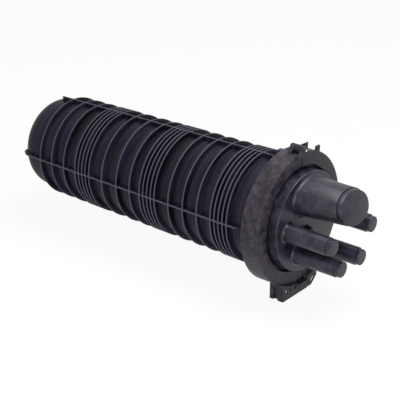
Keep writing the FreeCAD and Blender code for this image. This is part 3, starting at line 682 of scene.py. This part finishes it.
@dataclass
class DomeMoulding:
    """Ribbed dome: wall, rounded end, flange, ring ribs, four fins and the key."""

    wall_radius: float = 91.5
    taper: float = 0.0125
    wall: float = 4.0
    face: float = 58.3
    flange_radius: float = 109.0
    flange_tip: float = 8.4
    flange_root: float = 12.0
    end_start: float = -470.0
    end_depth: float = 52.0
    corner: float = 36.0
    rib_height: float = 8.5
    rib_thickness: float = 2.8
    rib_edge: float = 1.0
    rib_pitch: float = 8.7
    close_ribs: int = 5
    close_groups: tuple[float, ...] = (0.0, -159.8, -317.5)
    single_ribs: tuple[float, ...] = (-64.7, -95.6, -127.8, -218.2, -250.1, -285.6, -381.6, -412.7, -442.6)
    fin_half: float = 1.5
    fin_front: float = 27.0
    fin_back: float = -499.0
    fin_nose: float = 4.0
    fin_drop: float = 0.3
    fin_edge: float = 0.6
    sink: float = 2.0
    key: tuple[float, float, float, float] = (33.0, 41.0, 4.0, 114.5)
    segments: int = 192
    rib_edge_steps: int = 2
    search_steps: int = 60

    def radius_at(self, station: float) -> float:
        """Return the wall's outer radius at a station."""
        return self.wall_radius + self.taper * station

    def cap_radius(self) -> float:
        """Return the radius of the shallow cap, tangent to the corner arc."""
        rim = self.radius_at(self.end_start)
        return (self.end_depth ** 2 + (rim - self.corner) ** 2 - self.corner ** 2) / (
            2 * (self.end_depth - self.corner))

    def end_profile(self, inset: float, steps: int = 18) -> Profile:
        """Return the rounded end from its rim to its tip, or the surface inset from it.

        Args:
            inset: How far inside the outer surface the outline lies.
            steps: Steps on each of its two arcs.

        Returns:
            The open outline, as (station, radius).
        """
        rim, cap = self.radius_at(self.end_start), self.cap_radius()
        corner_centre = Vector((self.end_start, rim - self.corner))
        cap_centre = Vector((self.end_start - self.end_depth + cap, 0.0))
        way = corner_centre - cap_centre
        join = math.atan2(way.y, way.x)
        out: Profile = []
        for i in range(steps):
            a = math.pi / 2 + (join - math.pi / 2) * i / steps
            out.append((corner_centre.x + (self.corner - inset) * math.cos(a),
                        corner_centre.y + (self.corner - inset) * math.sin(a)))
        for i in range(steps + 1):
            a = join + (math.pi - join) * i / steps
            out.append((cap_centre.x + (cap - inset) * math.cos(a), max(0.0, (cap - inset) * math.sin(a))))
        out[-1] = (self.end_start - self.end_depth + inset, 0.0)
        return out

    def end_radius(self, station: float) -> float:
        """Return the end's outer radius at a station behind its rim."""
        points = self.end_profile(0.0, self.search_steps)
        return min(points, key=lambda p: abs(p[0] - station))[1]

    def shell(self) -> bpy.types.Mesh:
        """Build the wall with its flange and rounded end.

        Returns:
            The turned shell.
        """
        root = self.face - self.flange_root
        flange = [(self.face, self.flange_radius), (self.face - self.flange_tip, self.flange_radius),
                  (root, self.radius_at(root))]
        profile = [(self.face, self.radius_at(self.face) - self.wall)] + flange
        profile += self.end_profile(0.0) + self.end_profile(self.wall)[::-1]
        form = bmesh.new()
        lathe(form, profile, self.segments)
        return applied(to_object(form, "dome_shell"))

    def rib_stations(self) -> list[float]:
        """Return the stations of all the ring ribs."""
        close = [last - i * self.rib_pitch for last in self.close_groups for i in range(self.close_ribs)]
        return sorted(close + list(self.single_ribs))

    def rib_tree(self) -> bpy.types.NodeTree:
        """Build the node tree that sets a rounded ring at every point, sized by the wall's taper.

        Returns:
            The tree.
        """
        tree = bpy.data.node_groups.new("ring_ribs", "GeometryNodeTree")
        face = tree.interface
        face.new_socket("Geometry", in_out="INPUT", socket_type="NodeSocketGeometry")
        for label in ("Radius", "Height", "Thickness", "Edge", "Taper"):
            face.new_socket(label, in_out="INPUT", socket_type="NodeSocketFloat")
        face.new_socket("Material", in_out="INPUT", socket_type="NodeSocketMaterial")
        face.new_socket("Geometry", in_out="OUTPUT", socket_type="NodeSocketGeometry")
        given = add_node(tree, "NodeGroupInput").outputs
        ring = add_node(tree, "GeometryNodeCurvePrimitiveCircle", inputs={
            "Resolution": self.segments, "Radius": given["Radius"]})
        section = add_node(tree, "GeometryNodeCurvePrimitiveQuadrilateral", inputs={
            0: given["Height"], 1: given["Thickness"]})
        rounded = add_node(tree, "GeometryNodeFilletCurve", {"mode": "POLY"}, {
            "Curve": section.outputs[0], "Radius": given["Edge"], "Count": self.rib_edge_steps})
        swept = add_node(tree, "GeometryNodeCurveToMesh", inputs={0: ring.outputs[0], 1: rounded.outputs[0]})
        turned = add_node(tree, "GeometryNodeTransform", inputs={
            "Geometry": swept.outputs[0], "Rotation": (0.0, math.pi / 2, 0.0)})
        where = add_node(tree, "GeometryNodeInputPosition")
        parts = add_node(tree, "ShaderNodeSeparateXYZ", inputs={0: where.outputs[0]})
        narrowing = add_node(tree, "ShaderNodeMath", {"operation": "MULTIPLY"}, {
            0: parts.outputs[0], 1: given["Taper"]})
        share = add_node(tree, "ShaderNodeMath", {"operation": "DIVIDE"}, {
            0: narrowing.outputs[0], 1: given["Radius"]})
        scale = add_node(tree, "ShaderNodeMath", {"operation": "ADD"}, {0: share.outputs[0], 1: 1.0})
        spread = add_node(tree, "ShaderNodeCombineXYZ", inputs={
            0: 1.0, 1: scale.outputs[0], 2: scale.outputs[0]})
        rings = add_node(tree, "GeometryNodeInstanceOnPoints", inputs={
            "Points": given["Geometry"], "Instance": turned.outputs[0], "Scale": spread.outputs[0]})
        real = add_node(tree, "GeometryNodeRealizeInstances", inputs={0: rings.outputs[0]})
        dressed = add_node(tree, "GeometryNodeSetMaterial", inputs={
            "Geometry": real.outputs[0], "Material": given["Material"]})
        add_node(tree, "NodeGroupOutput", inputs={0: dressed.outputs[0]})
        return tree

    def ribs(self, material: bpy.types.Material) -> bpy.types.Mesh:
        """Build all the ring ribs.

        Args:
            material: Finish of the dome.

        Returns:
            The ribs as one mesh.
        """
        points = bpy.data.meshes.new("rib_points")
        points.from_pydata([(x, 0.0, 0.0) for x in self.rib_stations()], [], [])
        obj = bpy.data.objects.new("dome_ribs", points)
        bpy.context.scene.collection.objects.link(obj)
        modifier = obj.modifiers.new("ribs", "NODES")
        modifier.node_group = self.rib_tree()
        depth = self.rib_height + self.sink
        values = {"Radius": self.wall_radius + self.rib_height - depth / 2, "Height": depth,
                  "Thickness": self.rib_thickness, "Edge": self.rib_edge, "Taper": self.taper,
                  "Material": material}
        for item in modifier.node_group.interface.items_tree:
            if item.in_out == "INPUT" and item.name in values:
                modifier[item.identifier] = values[item.name]
        return applied(obj)

    def fins(self) -> bpy.types.Mesh:
        """Build the four fins and the key; the top fin stops at the rounded end.

        Returns:
            The fins and the key as one mesh.
        """
        rise = self.rib_height - self.fin_drop
        form = bmesh.new()
        for quarter in range(4):
            line = [(self.fin_front, self.radius_at(self.fin_front) - self.sink),
                    (self.fin_front, self.radius_at(self.fin_front) + self.sink),
                    (self.fin_front - self.rib_height, self.radius_at(self.fin_front) + rise),
                    (self.end_start, self.radius_at(self.end_start) + rise)]
            if quarter:
                middle, nose = (self.end_start + self.fin_back) / 2, self.fin_back + self.fin_nose
                line += [(middle, self.end_radius(middle) + rise), (nose, self.end_radius(nose) + rise),
                         (self.fin_back, self.end_radius(self.fin_back) + self.fin_nose),
                         (self.fin_back, self.end_radius(self.fin_back) - self.sink),
                         (middle, self.end_radius(middle) - self.sink)]
            line.append((self.end_start, self.radius_at(self.end_start) - self.sink))
            turn = Matrix.Rotation(math.radians(90 * quarter), 4, "X")
            span_sections(form, [[turn @ Vector((x, side, r)) for x, r in line]
                                 for side in (-self.fin_half, self.fin_half)])
        rear, front, half, top = self.key
        prism(form, rectangle(-half, half, self.radius_at(rear) - self.sink, top), rear, front)
        return cut_and_bevel(form, [], self.fin_edge, "dome_fins")

    def make(self, finishes: Finishes, seat: Seat) -> None:
        """Build the dome in place of its solid."""
        meshes = [self.shell(), self.ribs(finishes.dome), self.fins()]
        finished("dome_moulding", meshes, finishes.dome, seat, Body.CLOSURE, "dome")


@dataclass
class BaseMoulding:
    """Base: spigot, flange, port plate, four round ports and the oval port."""

    face: float = 60.0
    radius: float = 87.7
    front: float = 95.0
    plate: float = 6.0
    wall: float = 6.0
    flange_radius: float = 109.0
    flange_tip: float = 8.4
    flange_root: float = 12.0
    spigot_end: float = 34.0
    spigot_radius: float = 86.9
    rim_edge: float = 2.2
    rim_edge_steps: int = 5
    segments: int = 256
    port_circle: float = 58.0
    port_angles: tuple[float, ...] = (-90.0, -30.0, 30.0, 90.0)
    port_radius: float = 15.5
    port_end: float = 186.5
    port_cap: float = 6.0
    port_cap_radius: float = 13.7
    port_groove: float = 2.5
    port_groove_radius: float = 12.8
    port_edge: float = 0.9
    port_edge_steps: int = 3
    port_segments: int = 72
    root_flare: float = 5.0
    root_sink: float = 1.0
    flare_steps: int = 8
    oval_half_width: float = 42.0
    oval_half_height: float = 29.0
    oval_side_radius: float = 23.0
    oval_draft: float = 4.0
    oval_root_height: float = 46.5
    oval_tip_height: float = 50.0
    oval_end: float = 186.0
    oval_lean: float = 0.32
    oval_edge: float = 0.8
    oval_edge_middle: Pair = (0.2, 0.25)
    cap_root: Pair = (0.5, 0.6)
    cap_edge: float = 1.2
    cap_edge_middle: float = 0.35

    def plate_and_flange(self) -> bpy.types.Mesh:
        """Build the turned body of the base.

        Returns:
            The spigot, flange and port plate as one mesh.
        """
        bore = self.radius - self.wall
        profile = [(self.spigot_end, bore), (self.spigot_end, self.spigot_radius),
                   (self.face, self.spigot_radius), (self.face, self.flange_radius),
                   (self.face + self.flange_tip, self.flange_radius),
                   (self.face + self.flange_root, self.radius), (self.front, self.radius),
                   (self.front, 0.0), (self.front - self.plate, 0.0), (self.front - self.plate, bore)]
        form = bmesh.new()
        lathe(form, soften(profile, self.rim_edge, self.rim_edge_steps), self.segments)
        return applied(to_object(form, "base_plate"))

    def flare(self) -> Profile:
        """Return the quarter round at a port's root, as way in front of the plate and added radius."""
        turns = [math.radians(90 * i / self.flare_steps) for i in range(self.flare_steps + 1)]
        return [(self.root_flare * (1 - math.cos(t)), self.root_flare * (1 - math.sin(t))) for t in turns]

    def round_port(self, angle: float) -> bpy.types.Mesh:
        """Build one blind port with a flared root and a grooved cap.

        Args:
            angle: Place of the port round the plate, in degrees from its lowest point.

        Returns:
            The port.
        """
        a = math.radians(angle)
        centre = (self.port_circle * math.sin(a), -self.port_circle * math.cos(a))
        groove_front = self.port_end - self.port_cap
        groove_back = groove_front - self.port_groove
        buried = self.front - self.root_sink
        root = [(buried, 0.0), (buried, self.port_radius + self.root_flare)]
        root += [(self.front + way, self.port_radius + spread) for way, spread in self.flare()]
        end = [(groove_back, self.port_radius), (groove_back, self.port_groove_radius),
               (groove_front, self.port_groove_radius), (groove_front, self.port_cap_radius),
               (self.port_end, self.port_cap_radius), (self.port_end, 0.0)]
        # The flare's last point only leads into the first rounding, so its own rounded points drop out
        rounded = soften([root[-1]] + end, self.port_edge, self.port_edge_steps)
        form = bmesh.new()
        lathe(form, root + rounded[self.port_edge_steps + 1:], self.port_segments, centre=centre)
        return applied(to_object(form, "round_port"))

    def oval_ring(self, station: float, inset: float, lean: float, count: int = 144) -> list[Vector]:
        """Return one section of the oval port.

        Args:
            station: Station of the section on the port's centre line.
            inset: How far the section lies inside the drafted outside.
            lean: Share of the end face's lean, from 0 to 1.
            count: Points round the section.

        Returns:
            The points in order.
        """
        offset = self.oval_half_width - self.oval_side_radius
        rise = self.oval_half_height - self.oval_side_radius
        drop = (offset ** 2 - rise ** 2) / (2 * rise)
        flat = self.oval_half_height + drop
        spread = math.atan2(offset, drop)
        length = self.oval_end - self.front
        out = []
        for i in range(count):
            a = 2 * math.pi * i / count
            sine, cosine = math.sin(a), math.cos(a)
            if abs(sine) > math.cos(spread):
                radius, centre = flat, (0.0, -math.copysign(drop, sine))
            else:
                radius, centre = self.oval_side_radius, (math.copysign(offset, cosine), 0.0)
            height = centre[1] + (radius - inset) * sine
            x = station - lean * self.oval_lean * height
            back = (self.oval_end - x) / length
            size = radius - inset + self.oval_draft * back
            middle = self.oval_tip_height - (self.oval_tip_height - self.oval_root_height) * back
            out.append(Vector((x, centre[0] + size * cosine, middle + centre[1] + size * sine)))
        return out

    def oval_port(self) -> bpy.types.Mesh:
        """Build the oval port from its flared root to its leaning, grooved end.

        Returns:
            The port.
        """
        cap_inset = self.port_radius - self.port_cap_radius
        groove_inset = self.port_radius - self.port_groove_radius
        groove_front = self.oval_end - self.port_cap
        groove_back = groove_front - self.port_groove
        back, inward = self.oval_edge_middle
        along, across = self.cap_root
        end = [(groove_back - self.oval_edge, 0.0), (groove_back - back, inward),
               (groove_back, self.oval_edge), (groove_back, groove_inset), (groove_front, groove_inset),
               (groove_front, cap_inset + across), (groove_front + along, cap_inset),
               (self.oval_end - self.cap_edge, cap_inset),
               (self.oval_end - self.cap_edge_middle, cap_inset + self.cap_edge_middle),
               (self.oval_end, cap_inset + self.cap_edge)]
        sections = [(self.front - self.root_sink, -self.root_flare, 0.0)]
        sections += [(self.front + way, -spread, 0.0) for way, spread in self.flare()]
        sections += [(station, inset, 1.0) for station, inset in end]
        form = bmesh.new()
        span_sections(form, [self.oval_ring(*section) for section in sections])
        return applied(to_object(form, "oval_port"))

    def make(self, finishes: Finishes, seat: Seat) -> None:
        """Build the base in place of its solid.

        Args:
            finishes: Every finish of the closure.
            seat: Where the closure's frame lies.
        """
        meshes = [self.plate_and_flange(), self.oval_port()]
        meshes += [self.round_port(angle) for angle in self.port_angles]
        finished("base_moulding", meshes, finishes.base, seat, Body.CLOSURE, "base")


@dataclass
class ClampHalves:
    """Both halves of the clamp ring with hinge knuckles, ears, latch block and keeper lugs."""

    radius: float = 117.2
    rear: float = 43.0
    front: float = 79.5
    rear_lip: float = 97.0
    front_lip: float = 93.2
    edge: float = 1.8
    segments: int = 128
    gap_half: float = 1.0
    flange_top: float = 109.6
    groove_rear: Pair = (49.6, 47.02)
    groove_front: Pair = (68.7, 71.32)
    hinge_radius: float = 6.5
    hinge_bore: float = 2.6
    hinge_ends: Pair = (58.0, 87.0)
    hinge_edge: float = 0.5
    hinge_segments: int = 48
    knuckle: float = 8.0
    knuckle_gap: float = 0.4
    leaf_side: float = 0.95
    leaf_foot: float = 0.9
    leaf_spread: float = 11.0
    leaf_low: float = 113.2
    block_left: float = -51.0
    block_right: float = -8.5
    block_top: float = -100.0
    block_edge: float = 0.7
    cut_past: float = 5.0
    latch_rear: float = 58.0
    latch_front: float = 86.0
    stand: float = -136.5
    sink: float = 2.0
    cheek: float = 6.0
    cheek_right: float = 19.5
    cheek_top: float = -121.5
    lug: float = 6.5
    pin_hole: float = 2.6
    setback: float = 0.4
    lug_span: Pair = (20.5, 48.2)
    lug_corner: float = 33.0
    lug_low: float = -135.5
    lug_side: float = -121.5
    lug_edge: float = 0.4
    tie_hole: tuple[Pair, float] = ((-40.0, -120.0), 3.3)
    lug_slot: tuple[Pair, Pair] = ((37.6, -122.7), (33.5, -128.0))
    slot_radius: float = 2.4
    pockets: tuple[Pair, ...] = ((-31.5, -28.5), (-19.0, -11.5))
    pocket_bottom: float = -124.0
    pocket_depth: float = 2.0
    seam: float = 0.3
    skin: float = 3.0
    hollow_top: float = -113.0
    side_groove: Pair = (65.5, 74.5)
    side_groove_depth: float = 4.0
    side_groove_top: float = -112.0
    web: float = 2.2
    web_span: Pair = (30.0, 60.0)
    web_top: float = -118.0
    web_cut_past: float = 1.0
    bridge_low: float = -119.0
    bridge_edge: float = 0.5
    ear_span: Pair = (42.0, 53.0)
    ear_top: float = 116.5
    ear_root: float = 104.0
    ear_wall: float = 4.0
    ear_wedge: Triple = (45.0, 55.0, 110.6)
    ear_edge: float = 0.7

    def ring(self, side: Side) -> bpy.types.Mesh:
        """Build half of the ring with its wedge groove.

        Args:
            side: Half to build.

        Returns:
            The half ring.
        """
        profile = [(self.rear, self.rear_lip), (self.rear, self.radius), (self.front, self.radius),
                   (self.front, self.front_lip), (self.groove_front[1], self.front_lip),
                   (self.groove_front[0], self.flange_top), (self.groove_rear[0], self.flange_top),
                   (self.groove_rear[1], self.rear_lip)]
        margin = math.degrees(self.gap_half / self.radius)
        start = margin if side is Side.RIGHT else 180 + margin
        form = bmesh.new()
        lathe(form, soften(profile, self.edge), self.segments, start, 180 - 2 * margin)
        return applied(to_object(form, "clamp_ring"))

    def knuckles(self, side: Side) -> bpy.types.Mesh:
        """Build the hinge knuckles of one half with their leaves.

        Args:
            side: Half that the knuckles belong to.

        Returns:
            The knuckles and leaves.
        """
        rear, front = self.hinge_ends
        if side is Side.LEFT:
            spans = [(rear, rear + self.knuckle), (front - self.knuckle, front)]
        else:
            spans = [(rear + self.knuckle + self.knuckle_gap, front - self.knuckle - self.knuckle_gap)]
        form = bmesh.new()
        sign = side.value
        for x0, x1 in spans:
            lathe(form, [(x0, self.hinge_bore), (x0, self.hinge_radius), (x1, self.hinge_radius),
                         (x1, self.hinge_bore)], self.hinge_segments, centre=(0.0, HINGE_HEIGHT))
            inner = sign * self.gap_half
            leaf = [(sign * self.hinge_radius * self.leaf_side, HINGE_HEIGHT),
                    (sign * (self.hinge_radius + self.leaf_spread), self.leaf_low), (inner, self.leaf_low),
                    (inner, HINGE_HEIGHT - self.hinge_radius * self.leaf_foot)]
            prism(form, leaf, x0 + self.setback, x1 - self.setback)
        return cut_and_bevel(form, [], self.hinge_edge, "clamp_knuckles")

    def arc(self, y0: float, y1: float, radius: float, count: int = 10) -> Profile:
        """Return points along the underside of the ring.

        Args:
            y0: First place across.
            y1: Last place across.
            radius: Radius of the arc about the axis.
            count: Steps between them.

        Returns:
            The points, as (y, z).
        """
        return [(y, -math.sqrt(radius ** 2 - y ** 2)) for y in
                [y0 + (y1 - y0) * i / count for i in range(count + 1)]]

    def latch_block(self, pin: Pair) -> bpy.types.Mesh:
        """Build the left half's block, hollow from below, with its tie hole, slots and two cheeks.

        Args:
            pin: Place of the latch pin.

        Returns:
            The block and its cheeks.
        """
        form = bmesh.new()
        top = self.arc(self.block_right, self.block_left, self.radius - self.seam)
        prism(form, [(self.block_left, self.stand), (self.block_right, self.stand)] + top,
              self.latch_rear, self.latch_front)
        rear, front = self.latch_rear - self.cut_past, self.latch_front + self.cut_past
        low, groove = self.stand - self.cut_past, self.block_left + self.side_groove_depth
        hollow = rectangle(groove + self.skin, self.block_right - self.skin, low, self.hollow_top)
        holes = [(circle(*self.tie_hole), rear, front),
                 (hollow, self.latch_rear + self.skin, self.latch_front - self.skin)]
        for y0, y1 in self.pockets:
            holes.append((rectangle(y0, y1, self.pocket_bottom, self.block_top),
                          self.latch_front - self.pocket_depth, front))
        holes.append((rectangle(self.block_left - self.cut_past, groove, low, self.side_groove_top),
                      *self.side_groove))
        block = cut_and_bevel(form, holes, self.block_edge, "latch_block")
        cheeks = bmesh.new()
        for x0 in (self.latch_rear, self.latch_front - self.cheek):
            prism(cheeks, rectangle(self.block_right, self.cheek_right, self.stand, self.cheek_top), x0,
                  x0 + self.cheek)
        bore = (circle(pin, self.pin_hole), rear, front)
        return merged("latch_block", [block, cut_and_bevel(cheeks, [bore], self.lug_edge, "latch_cheeks")])

    def keeper_lugs(self, pin: Pair) -> bpy.types.Mesh:
        """Build the right half's two lugs with their slot and pin hole.

        Args:
            pin: Place of the keeper pin.

        Returns:
            The lugs.
        """
        inner, outer = self.lug_span
        outline = [(inner, self.lug_low), (self.lug_corner, self.lug_low), (outer, self.lug_side)]
        form = bmesh.new()
        outline += self.arc(outer, inner, self.radius - self.seam)
        prism(form, outline, self.latch_rear, self.latch_rear + self.lug)
        prism(form, outline, self.latch_front - self.lug, self.latch_front)
        rear, front = self.latch_rear - self.cut_past, self.latch_front + self.cut_past
        thinned = rectangle(*self.web_span, self.stand - self.cut_past, self.web_top)
        holes = [(stadium(*self.lug_slot, self.slot_radius), rear, front),
                 (circle(pin, self.pin_hole), rear, front),
                 (thinned, self.latch_front - self.lug - self.web_cut_past, self.latch_front - self.web)]
        return cut_and_bevel(form, holes, self.lug_edge, "keeper_lugs")

    def bridge(self) -> bpy.types.Mesh:
        """Build the web in front of the ring that backs the front keeper lug, just inside its faces.

        Returns:
            The web.
        """
        form = bmesh.new()
        inner, outer = self.lug_span[0] + self.setback, self.lug_span[1] - self.setback
        top = self.arc(outer, inner, self.radius - self.seam - self.setback)
        prism(form, [(inner, self.bridge_low), (outer, self.bridge_low)] + top, self.front - self.sink,
              self.latch_front - self.setback)
        return cut_and_bevel(form, [], self.bridge_edge, "keeper_bridge")

    def ears(self) -> bpy.types.Mesh:
        """Build the two ears on top of the right half: an upright plate and a wedge behind it.

        Returns:
            The ears.
        """
        y0, y1 = self.ear_span
        form = bmesh.new()
        prism(form, rectangle(y0, y1, self.ear_root, self.ear_top), self.front - self.ear_wall,
              self.front - self.setback)
        rear, front, low = self.ear_wedge
        wedge = [(rear, self.ear_root), (rear, low), (front, self.ear_top), (front, self.ear_root)]
        span_sections(form, [[(x, y, z) for x, z in wedge] for y in (y0, y1)])
        return cut_and_bevel(form, [], self.ear_edge, "clamp_ears")

    def make(self, finishes: Finishes, seat: Seat) -> None:
        """Build both halves in place of their solids.

        Args:
            finishes: Every finish of the closure.
            seat: Where the closure's frame lies.
        """
        left = [self.ring(Side.LEFT), self.knuckles(Side.LEFT),
                self.latch_block(pin_place("latch_pin", seat))]
        finished("clamp_left_moulding", left, finishes.clamp, seat, Body.CLOSURE,
                 "clamp_left_half")
        right = [self.ring(Side.RIGHT), self.knuckles(Side.RIGHT), self.ears(),
                 self.keeper_lugs(pin_place("keeper_pin", seat)), self.bridge()]
        finished("clamp_right_moulding", right, finishes.clamp, seat, Body.CLAMP_RIGHT,
                 "clamp_right_half")


@dataclass
class TestValve:
    """Small capped valve on the port plate."""

    height: float = -14.0
    radius: float = 6.5
    foot: float = 93.0
    front: float = 104.0
    collar: float = 5.0
    collar_step: float = 1.6
    edge: float = 0.6
    segments: int = 48

    def make(self, finishes: Finishes, seat: Seat) -> None:
        """Build the valve's collar and cap over its stem.

        Args:
            finishes: Every finish of the closure.
            seat: Where the closure's frame lies.
        """
        shoulder, cap = self.foot + self.collar, self.radius - self.collar_step
        profile = [(self.foot, 0.0), (self.foot, self.radius), (shoulder, self.radius), (shoulder, cap),
                   (self.front, cap), (self.front, 0.0)]
        form = bmesh.new()
        lathe(form, soften(profile, self.edge), self.segments, centre=(0.0, self.height))
        mesh = applied(to_object(form, "valve_cap"))
        finished("valve_cap", [mesh], finishes.valve, seat, Body.CLOSURE, "air_valve")


def white_share(tree: bpy.types.NodeTree, share: float) -> bpy.types.NodeSocket:
    """Return how much of the white background a ray sees: the camera, gloss and glass see it.

    Args:
        tree: Node tree of the floor or the world.
        share: How much those rays see of it.

    Returns:
        The share for the ray at hand.
    """
    rays = add_node(tree, "ShaderNodeLightPath").outputs
    bounced = add_node(tree, "ShaderNodeMath", {"operation": "MAXIMUM"}, {
        0: rays["Is Glossy Ray"], 1: rays["Is Transmission Ray"]})
    sees = add_node(tree, "ShaderNodeMath", {"operation": "MAXIMUM"}, {
        0: rays["Is Camera Ray"], 1: bounced.outputs[0]})
    part = add_node(tree, "ShaderNodeMath", {"operation": "MULTIPLY"}, {0: sees.outputs[0], 1: share})
    return part.outputs[0]


@dataclass(frozen=True)
class Softbox:
    """Square area lamp."""

    name: str
    place: Triple
    size: float
    power: float

    def light(self, target: Vector) -> None:
        """Set the lamp up so that it faces a target.

        Args:
            target: Point that the lamp faces.
        """
        data = bpy.data.lights.new(self.name, "AREA")
        data.energy = self.power
        data.size = self.size
        obj = bpy.data.objects.new(self.name, data)
        place = Vector(self.place)
        turn = (target - place).to_track_quat("-Z", "Y")
        obj.matrix_world = Matrix.Translation(place) @ turn.to_matrix().to_4x4()
        bpy.context.scene.collection.objects.link(obj)


@dataclass
class Studio:
    """Camera at the photograph's angle, pale floor and soft lamps."""

    lens_mm: float = 113.4
    sensor_mm: float = 36.0
    yaw: float = 39.03
    pitch: float = 24.09
    roll: float = 0.15
    distance: float = 2.1554
    aside: float = -0.1055
    up: float = 0.0104
    sight: float = 50.0
    white: str = "ffffff"
    paper: str = "f4f4f4"
    floor_reach: float = 6.0
    glow_share: float = 0.93
    sky_light: float = 0.22
    aim: Triple = (0.0, 0.0, 0.12)
    softboxes: tuple[Softbox, ...] = (
        Softbox("key_softbox", (1.0, -1.9, 0.5), size=0.9, power=26.0),
        Softbox("top_softbox", (0.5, 0.3, 1.9), size=1.1, power=40.0))

    def camera(self, seat: Seat) -> None:
        """Place the camera by its fitted angles and distance.

        Args:
            seat: Where the closure's frame lies.
        """
        yaw, pitch, roll = (math.radians(v) for v in (self.yaw, self.pitch, self.roll))
        back = Vector((math.sin(yaw) * math.cos(pitch), -math.cos(yaw) * math.cos(pitch), math.sin(pitch)))
        level = Vector((math.cos(yaw), math.sin(yaw), 0.0))
        upright = back.cross(level)
        right = level * math.cos(roll) + upright * math.sin(roll)
        top = upright * math.cos(roll) - level * math.sin(roll)
        place = right * self.aside + top * self.up + back * self.distance + seat.shift
        data = bpy.data.cameras.new("photo_camera")
        data.lens = self.lens_mm
        data.sensor_width = self.sensor_mm
        data.clip_end = self.sight
        obj = bpy.data.objects.new("photo_camera", data)
        turn = Matrix((right, top, back)).transposed()
        obj.matrix_world = Matrix.Translation(place) @ turn.to_4x4()
        bpy.context.scene.collection.objects.link(obj)
        bpy.context.scene.camera = obj

    def floor(self) -> None:
        """Lay the pale floor: white to the camera and to reflections, with the object's shadow."""
        mesh = bpy.data.meshes.new("floor")
        reach = self.floor_reach
        corners = [(-reach, -reach, 0), (reach, -reach, 0), (reach, reach, 0), (-reach, reach, 0)]
        mesh.from_pydata(corners, [], [(0, 1, 2, 3)])
        material = blank_material("paper_floor")
        tree = material.node_tree
        matte = add_node(tree, "ShaderNodeBsdfDiffuse", inputs={"Color": linear(self.paper)})
        glow = add_node(tree, "ShaderNodeEmission", inputs={"Color": linear(self.white), "Strength": 1.0})
        both = add_node(tree, "ShaderNodeMixShader", inputs={
            0: white_share(tree, self.glow_share), 1: matte.outputs[0], 2: glow.outputs[0]})
        add_node(tree, "ShaderNodeOutputMaterial", inputs={"Surface": both.outputs[0]})
        mesh.materials.append(material)
        obj = bpy.data.objects.new("floor", mesh)
        bpy.context.scene.collection.objects.link(obj)

    def sky(self) -> None:
        """Fill the world: white to the camera and to reflections, a soft even light to the object."""
        world = bpy.data.worlds.new("studio")
        world.use_nodes = True
        tree = world.node_tree
        tree.nodes.clear()
        plain = add_node(tree, "ShaderNodeBackground", inputs={
            "Color": linear(self.white), "Strength": self.sky_light})
        white = add_node(tree, "ShaderNodeBackground", inputs={"Color": linear(self.white), "Strength": 1.0})
        both = add_node(tree, "ShaderNodeMixShader", inputs={
            0: white_share(tree, 1.0), 1: plain.outputs[0], 2: white.outputs[0]})
        add_node(tree, "ShaderNodeOutputWorld", inputs={"Surface": both.outputs[0]})
        bpy.context.scene.world = world

    def make(self, seat: Seat) -> None:
        """Set up the whole studio.

        Args:
            seat: Where the closure's frame lies.
        """
        bpy.context.scene.view_settings.view_transform = "Standard"
        self.camera(seat)
        self.floor()
        self.sky()
        for softbox in self.softboxes:
            softbox.light(Vector(self.aim))


def dress_carried_over(frame: dict, finishes: Finishes) -> None:
    """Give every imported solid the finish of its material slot, and the latch's pins their own.

    Args:
        finishes: Every finish of the closure.
    """
    slots = {part["node"]: part["material_slot"] for part in frame["record"]["subparts"]}
    finish_of = finishes.of_slots()
    for name, node in frame["nodes"].items():
        material = finishes.latch_pins if name in LATCH_PINS else finish_of[slots[name]]
        node.data.materials.clear()
        node.data.materials.append(material)


def main() -> None:
    """Build the closure round its frame."""
    logging.basicConfig(level=logging.INFO, format="%(message)s")
    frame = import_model()
    seat = Seat.from_frame(frame)
    finishes = Finishes(seat)
    dress_carried_over(frame, finishes)
    DomeMoulding().make(finishes, seat)
    BaseMoulding().make(finishes, seat)
    ClampHalves().make(finishes, seat)
    TestValve().make(finishes, seat)
    Studio().make(seat)


if __name__ == "__main__":
    main()
